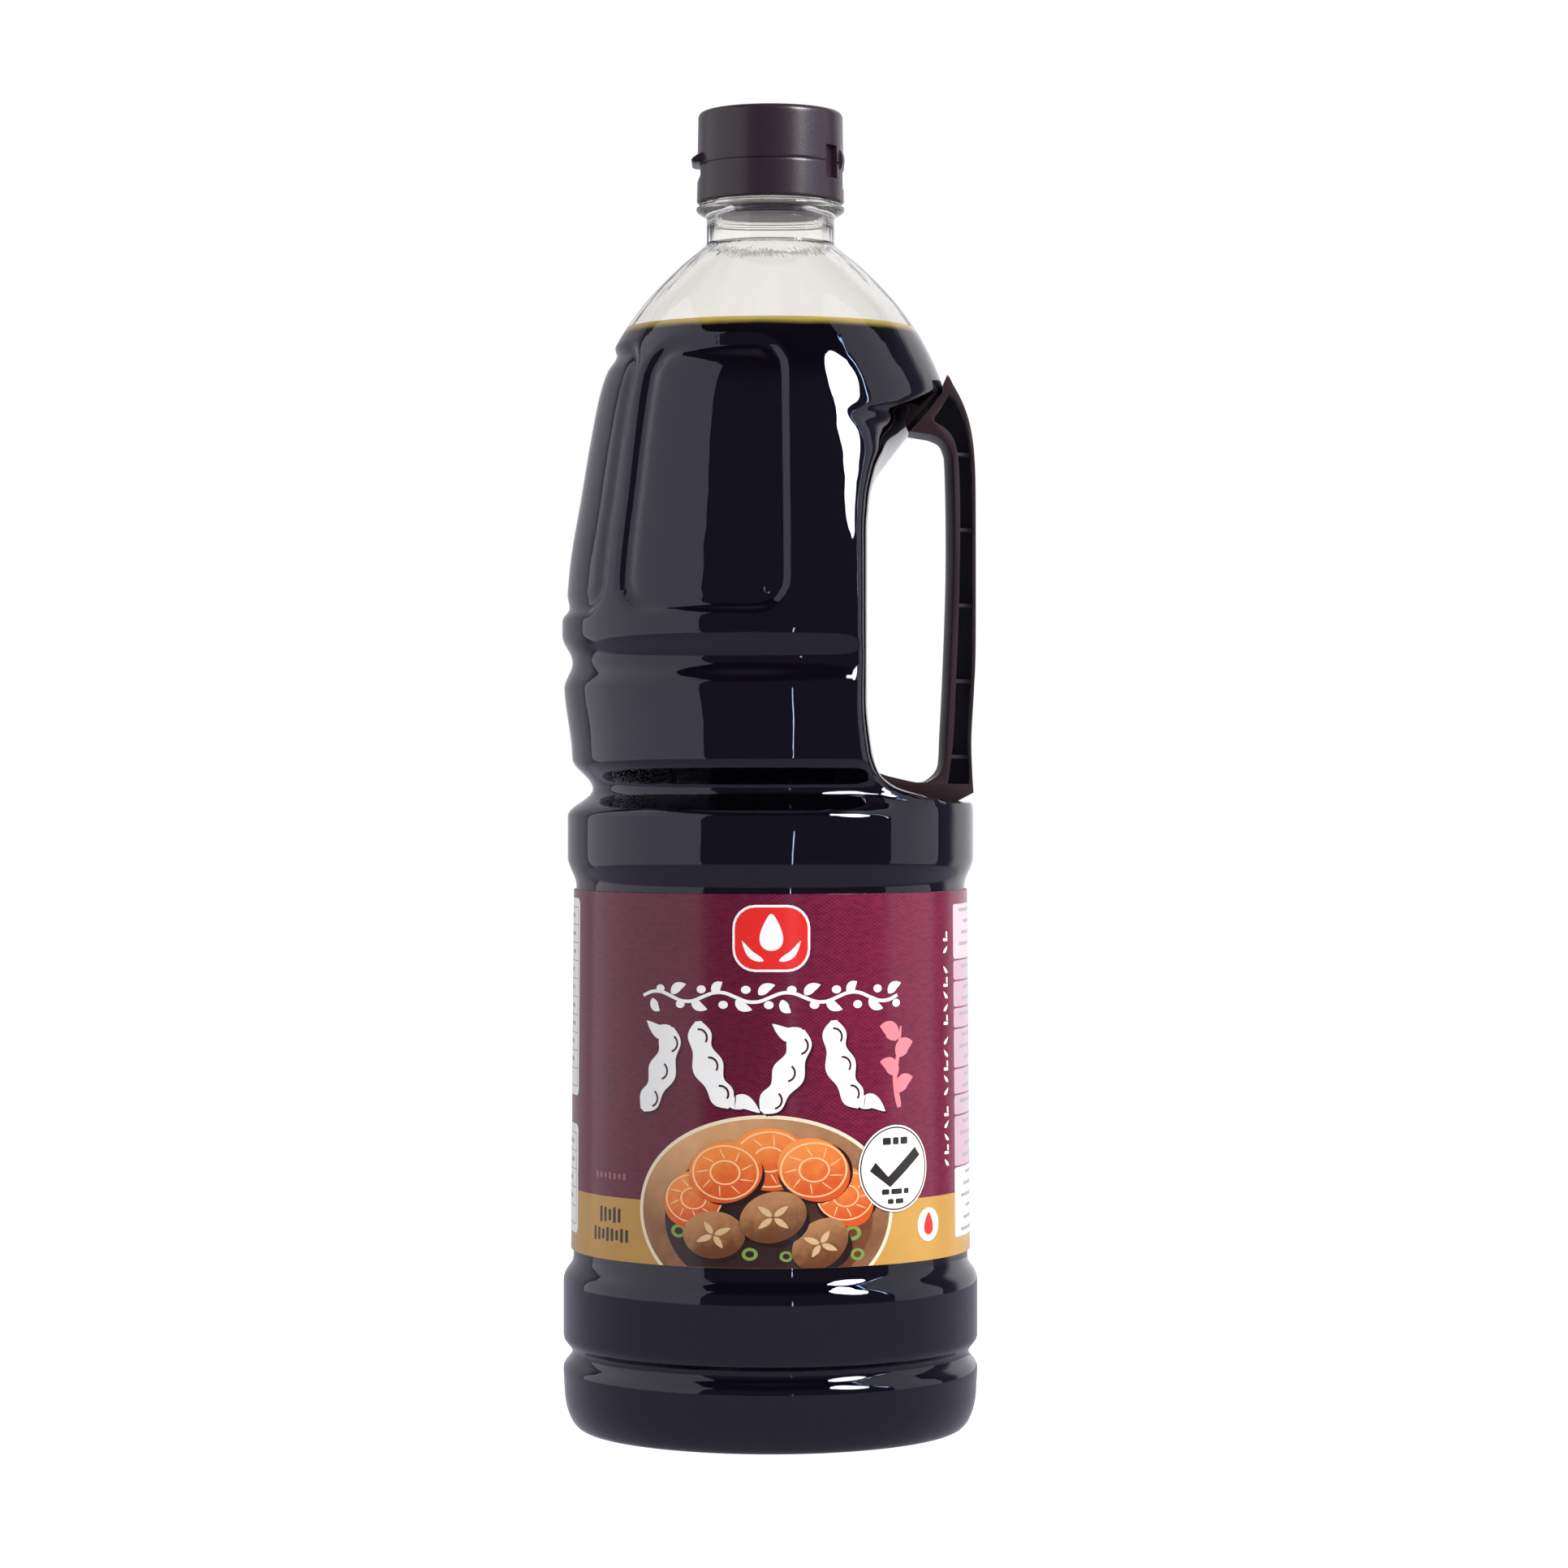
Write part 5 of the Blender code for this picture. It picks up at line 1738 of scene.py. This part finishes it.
class SAUCEBOTTLE_OT_handle(bpy.types.Operator):
    """Make the grip: finger and palm plates joined by a web with ribs."""

    bl_idname = "sauce_bottle.handle"
    bl_label = "Grip Handle"

    def execute(self, context):
        settings = context.scene.sauce_bottle_handle
        handle = self.body()
        past_edge = HANDLE_HALF_WIDTH + CUTTER_OVERSHOOT
        pocket = smooth_path(POCKET_PALM_SIDE)
        pocket += smooth_path(POCKET_FINGER_SIDE) + list(POCKET_CORNER)
        pockets = []
        for low, high in ((-past_edge, -WEB_HALF_THICKNESS), (WEB_HALF_THICKNESS, past_edge)):
            pockets.append(prism("pocket", pocket, low, high, across_y))
        apply_boolean(handle, "DIFFERENCE", pockets)
        apply_boolean(handle, "UNION", self.ribs())
        if settings.edge_round:
            round_edges(handle, settings.edge_round)
        plastic = satin_plastic(
            "handle_moulding", settings.colour, 0.45, 2200.0, 0.000012, HANDLE_POCKET_SHADE,
        )
        finish_piece(handle, "handle_grip", plastic, "handle_plastic", "handle")
        return {"FINISHED"}

    def outline(self):
        """Outline points as (x, z, bulge), starting at the tip, palm side first."""
        tip_x, tip_z = HANDLE_TIP
        points = [(tip_x + HANDLE_TIP_CHAMFER[0], tip_z + HANDLE_TIP_CHAMFER[1], 0.0)]
        points += smooth_path([(x, z, 0.0) for x, z in PALM_SIDE])
        for z in LEDGE_ROWS:
            points.append((body_radius(0.0, z), z - SEAT_OVERLAP, 0.0))
        foot = body_radius(0.0, FOOT_TIP_HEIGHT) - SEAT_OVERLAP
        points.append((foot, FOOT_TIP_HEIGHT, 0.0))
        points += smooth_path(FINGER_SIDE)
        arm = body_radius(0.0, ARM_TIP_HEIGHT) - SEAT_OVERLAP
        points.append((arm, ARM_TIP_HEIGHT, ARM_TIP_BULGE))
        for z in CONTACT_ROWS:
            points.append((body_radius(0.0, z) - SEAT_OVERLAP, z, 0.0))
        points.append((tip_x, tip_z, 0.0))
        return points

    def body(self):
        """The outline carried across the handle's width, bowed at the fingers."""
        points = self.outline()
        count = len(points)
        mesh = bmesh.new()
        rows = []
        for i in range(HANDLE_STATIONS):
            station = 2 * i / (HANDLE_STATIONS - 1) - 1
            row = []
            for j, (x, z, bulge) in enumerate(points):
                before = points[j - 1]
                after = points[(j + 1) % count]
                along = Vector((after[0] - before[0], after[1] - before[1])).normalized()
                reach = bulge * (1.0 - station * station)
                place_x = x - along.y * reach
                place_z = z + along.x * reach
                row.append(mesh.verts.new((place_x, station * HANDLE_HALF_WIDTH, place_z)))
            rows.append(row)
        for near, far in zip(rows, rows[1:]):
            for j in range(count):
                k = (j + 1) % count
                mesh.faces.new((near[j], near[k], far[k], far[j]))
        mesh.faces.new(rows[0])
        mesh.faces.new(rows[-1])
        bmesh.ops.recalc_face_normals(mesh, faces=mesh.faces[:])
        return linked_mesh("handle_body", mesh)

    def ribs(self):
        """Level ribs that join the two plates across the web."""
        palm_edge = SmoothCurve([(z, x) for x, z in reversed(POCKET_PALM_SIDE)])
        finger_edge = SmoothCurve([(z, x) for x, z in POCKET_FINGER_SIDE])
        made = []
        for i in range(RIB_COUNT):
            z = RIB_HEIGHTS_FROM + i * RIB_SPACING
            near = finger_edge.at(z) - RIB_ROOT
            far = palm_edge.at(z) + RIB_ROOT
            bottom = z - RIB_HALF_THICKNESS
            top = z + RIB_HALF_THICKNESS
            rib = ((near, bottom), (far, bottom), (far, top), (near, top))
            made.append(prism("rib", rib, -RIB_HALF_WIDTH, RIB_HALF_WIDTH, across_y))
        return made


# Stage: upright panels as ((x, y, z) of the middle, (width, height))
CAMERA_LENS = 101.12
CAMERA_SHIFT = (0.00864, -0.01185)
FLOOR_RADIUS = 6.0
FLOOR_STEPS = 128
FLOOR_SHEEN = (0.46, 0.44, 0.54)
FLOOR_SHEEN_REACH = (0.36, 0.50)
SOFTBOX = ((-0.70, -0.2115, 0.32), (1.331, 1.84))
SIDE_PANEL = ((0.82, -0.025, 0.95), (0.55, 2.10))
EDGE_STRIP = ((0.80, -0.325, 0.80), (0.016, 1.00))
LOW_STRIP = ((0.229, -1.076, -0.05), (0.010, 0.34))
EDGE_STRIP_COLOUR = (0.45, 0.72, 1.0)
LOW_STRIP_COLOUR = (0.62, 0.78, 1.0)
KEY_AZIMUTH = math.radians(51.5)
KEY_ELEVATION = math.radians(36)
KEY_DISTANCE = 1.2
KEY_SIZE = (0.40, 0.66)
AIM_HEIGHT = 0.15
DARK_STUDIO = (0.155, 0.140, 0.215)
STEEP_STUDIO = (0.060, 0.052, 0.095)
STEEP_SPAN = (0.45, 0.75)
CEILING = (0.26, 0.235, 0.27)
CEILING_SPAN = (0.88, 0.99)
BEHIND_LEFT = (0.50, 0.49, 0.54)
BEHIND_RIGHT = (0.95, 0.94, 0.97)
BEHIND_SPAN = (-0.35, 0.35)
WHITE_BEHIND = (0.52, 0.66)
WHITE_ABOVE = (-0.50, -0.12)


class SAUCEBOTTLE_OT_stage(bpy.types.Operator):
    """Make the floor, the white room, the lights and the camera."""

    bl_idname = "sauce_bottle.stage"
    bl_label = "Studio"

    def execute(self, context):
        settings = context.scene.sauce_bottle_stage
        self.camera(context, settings)
        self.floor()
        self.room(context, settings)
        self.panel("softbox", SOFTBOX, settings.softbox)
        self.panel("side_panel", SIDE_PANEL, settings.side)
        edge_strip = self.panel("edge_strip", EDGE_STRIP, settings.strips)
        edge_strip.color = EDGE_STRIP_COLOUR
        low_strip = self.panel("low_strip", LOW_STRIP, settings.strips)
        low_strip.color = LOW_STRIP_COLOUR
        flat = KEY_DISTANCE * math.cos(KEY_ELEVATION)
        key_place = (
            flat * math.sin(KEY_AZIMUTH),
            -flat * math.cos(KEY_AZIMUTH),
            AIM_HEIGHT + KEY_DISTANCE * math.sin(KEY_ELEVATION),
        )
        self.panel("key", (key_place, KEY_SIZE), settings.key, AIM_HEIGHT, "ELLIPSE")
        context.scene.view_settings.view_transform = "Standard"
        return {"FINISHED"}

    def camera(self, context, settings):
        data = bpy.data.cameras.new("camera")
        data.sensor_width = 36.0
        data.lens = CAMERA_LENS
        data.shift_x, data.shift_y = CAMERA_SHIFT
        camera = link("camera", data)
        camera.location = (0.0, -settings.camera_distance, settings.camera_height)
        camera.rotation_euler = (math.radians(90), 0.0, 0.0)
        context.scene.camera = camera

    def panel(self, name, panel, brightness, aim_height=None, shape="RECTANGLE"):
        """An evenly bright area light that faces the bottle's axis."""
        position, size = panel
        data = bpy.data.lights.new(name, "AREA")
        data.shape = shape
        data.size, data.size_y = size
        area = size[0] * size[1] * (0.25 * math.pi if shape == "ELLIPSE" else 1.0)
        data.energy = 4 * area * brightness
        light = link(name, data)
        light.location = position
        upright_aim = aim_height is None
        aim = Vector((0.0, 0.0, position[2] if upright_aim else aim_height))
        facing = aim - Vector(position)
        if upright_aim and abs(position[0]) > abs(position[1]):
            facing = Vector((-position[0], 0.0, 0.0))
        light.rotation_euler = facing.to_track_quat("-Z", "Y").to_euler()
        light.visible_transmission = False
        light.visible_camera = False
        return data

    def floor(self):
        """A white floor that the plastic reflects as a plain grey one."""
        mesh = bmesh.new()
        bmesh.ops.create_circle(mesh, cap_ends=True, radius=FLOOR_RADIUS, segments=FLOOR_STEPS)
        floor = linked_mesh("floor", mesh)
        material, tree, shader = new_material("pale_floor", 0.9)
        shade = noise(tree, place(tree), 3.0)
        feed(tree, mixed(tree, shade, (0.45, 0.45, 0.46), (0.47, 0.47, 0.47)),
             shader.inputs["Base Color"])
        shader.inputs["Specular IOR Level"].default_value = 0.0
        shader.inputs["Emission Color"].default_value = (1.0, 1.0, 1.0, 1.0)
        rays = tree.nodes.new("ShaderNodeLightPath")
        seen = maths(tree, "MAXIMUM", rays.outputs["Is Camera Ray"],
                     rays.outputs["Is Transmission Ray"])
        feed(tree, seen, shader.inputs["Emission Strength"])
        glow = tree.nodes.new("ShaderNodeEmission")
        feed(tree, FLOOR_SHEEN, glow.inputs["Color"])
        clear = tree.nodes.new("ShaderNodeBsdfTransparent")
        distance = tree.nodes.new("ShaderNodeVectorMath")
        distance.operation = "LENGTH"
        feed(tree, place(tree), distance.inputs[0])
        far = soft_range(tree, distance.outputs["Value"], *FLOOR_SHEEN_REACH)
        sheen = self.mixed_shader(tree, far, glow.outputs["Emission"], clear.outputs["BSDF"])
        glossy = rays.outputs["Is Glossy Ray"]
        whole = self.mixed_shader(tree, glossy, shader.outputs["BSDF"], sheen)
        feed(tree, whole, tree.nodes["Material Output"].inputs["Surface"])
        floor.data.materials.append(material)

    def mixed_shader(self, tree, share, first, second):
        """Two surfaces mixed by share."""
        blend = tree.nodes.new("ShaderNodeMixShader")
        feed(tree, share, blend.inputs[0])
        feed(tree, first, blend.inputs[1])
        feed(tree, second, blend.inputs[2])
        return blend.outputs["Shader"]

    def room(self, context, settings):
        """White to the eye and through the plastic, soft on matt surfaces.

        In reflections it is dark in front and pale behind.
        """
        world = bpy.data.worlds.new("white_room")
        world.use_nodes = True
        context.scene.world = world
        tree = world.node_tree
        background = tree.nodes["Background"]
        direction = tree.nodes.new("ShaderNodeTexCoord")
        split = axes(tree, direction.outputs["Generated"])
        behind = soft_range(tree, split["Y"], *WHITE_BEHIND)
        level_up = soft_range(tree, split["Z"], *WHITE_ABOVE)
        behind = maths(tree, "MULTIPLY", behind, level_up)
        steep = soft_range(tree, split["Z"], *STEEP_SPAN)
        studio = mixed(tree, steep, DARK_STUDIO, STEEP_STUDIO)
        ceiling = soft_range(tree, split["Z"], *CEILING_SPAN)
        studio = mixed(tree, ceiling, studio, CEILING)
        side = soft_range(tree, split["X"], *BEHIND_SPAN)
        reflected = mixed(tree, behind, studio, mixed(tree, side, BEHIND_LEFT, BEHIND_RIGHT))
        rays = tree.nodes.new("ShaderNodeLightPath")
        level = (settings.ambient,) * 3
        colour = mixed(tree, rays.outputs["Is Diffuse Ray"], (1.0, 1.0, 1.0), level)
        colour = mixed(tree, rays.outputs["Is Glossy Ray"], colour, reflected)
        colour = mixed(tree, rays.outputs["Is Transmission Ray"], colour, (1.0, 1.0, 1.0))
        feed(tree, colour, background.inputs["Color"])


OPERATORS = (
    SAUCEBOTTLE_OT_bottle,
    SAUCEBOTTLE_OT_sauce,
    SAUCEBOTTLE_OT_label,
    SAUCEBOTTLE_OT_print,
    SAUCEBOTTLE_OT_dish,
    SAUCEBOTTLE_OT_panels,
    SAUCEBOTTLE_OT_cap,
    SAUCEBOTTLE_OT_handle,
    SAUCEBOTTLE_OT_stage,
)


class SAUCEBOTTLE_PT_panel(bpy.types.Panel):
    """Lists the bottle's pieces and their settings."""

    bl_idname = "SAUCEBOTTLE_PT_panel"
    bl_label = "Sauce Bottle"
    bl_space_type = "VIEW_3D"
    bl_region_type = "UI"
    bl_category = "Sauce Bottle"

    def draw(self, context):
        for name, settings in SETTINGS.items():
            box = self.layout.box()
            box.label(text=settings.__doc__)
            for key in settings.__annotations__:
                box.prop(getattr(context.scene, name), key)
        for operator in OPERATORS:
            self.layout.operator(operator.bl_idname)


CLASSES = (*SETTINGS.values(), *OPERATORS, SAUCEBOTTLE_PT_panel)


def register():
    for made in CLASSES:
        bpy.utils.register_class(made)
    for name, settings in SETTINGS.items():
        setattr(bpy.types.Scene, name, PointerProperty(type=settings))


def unregister():
    for name in SETTINGS:
        delattr(bpy.types.Scene, name)
    for made in reversed(CLASSES):
        bpy.utils.unregister_class(made)


def main():
    register()
    bpy.ops.sauce_bottle.bottle()
    bpy.ops.sauce_bottle.sauce()
    bpy.ops.sauce_bottle.label()
    bpy.ops.sauce_bottle.print()
    bpy.ops.sauce_bottle.dish()
    bpy.ops.sauce_bottle.panels()
    bpy.ops.sauce_bottle.cap()
    bpy.ops.sauce_bottle.handle()
    bpy.ops.sauce_bottle.stage()


if __name__ == "__main__":
    main()
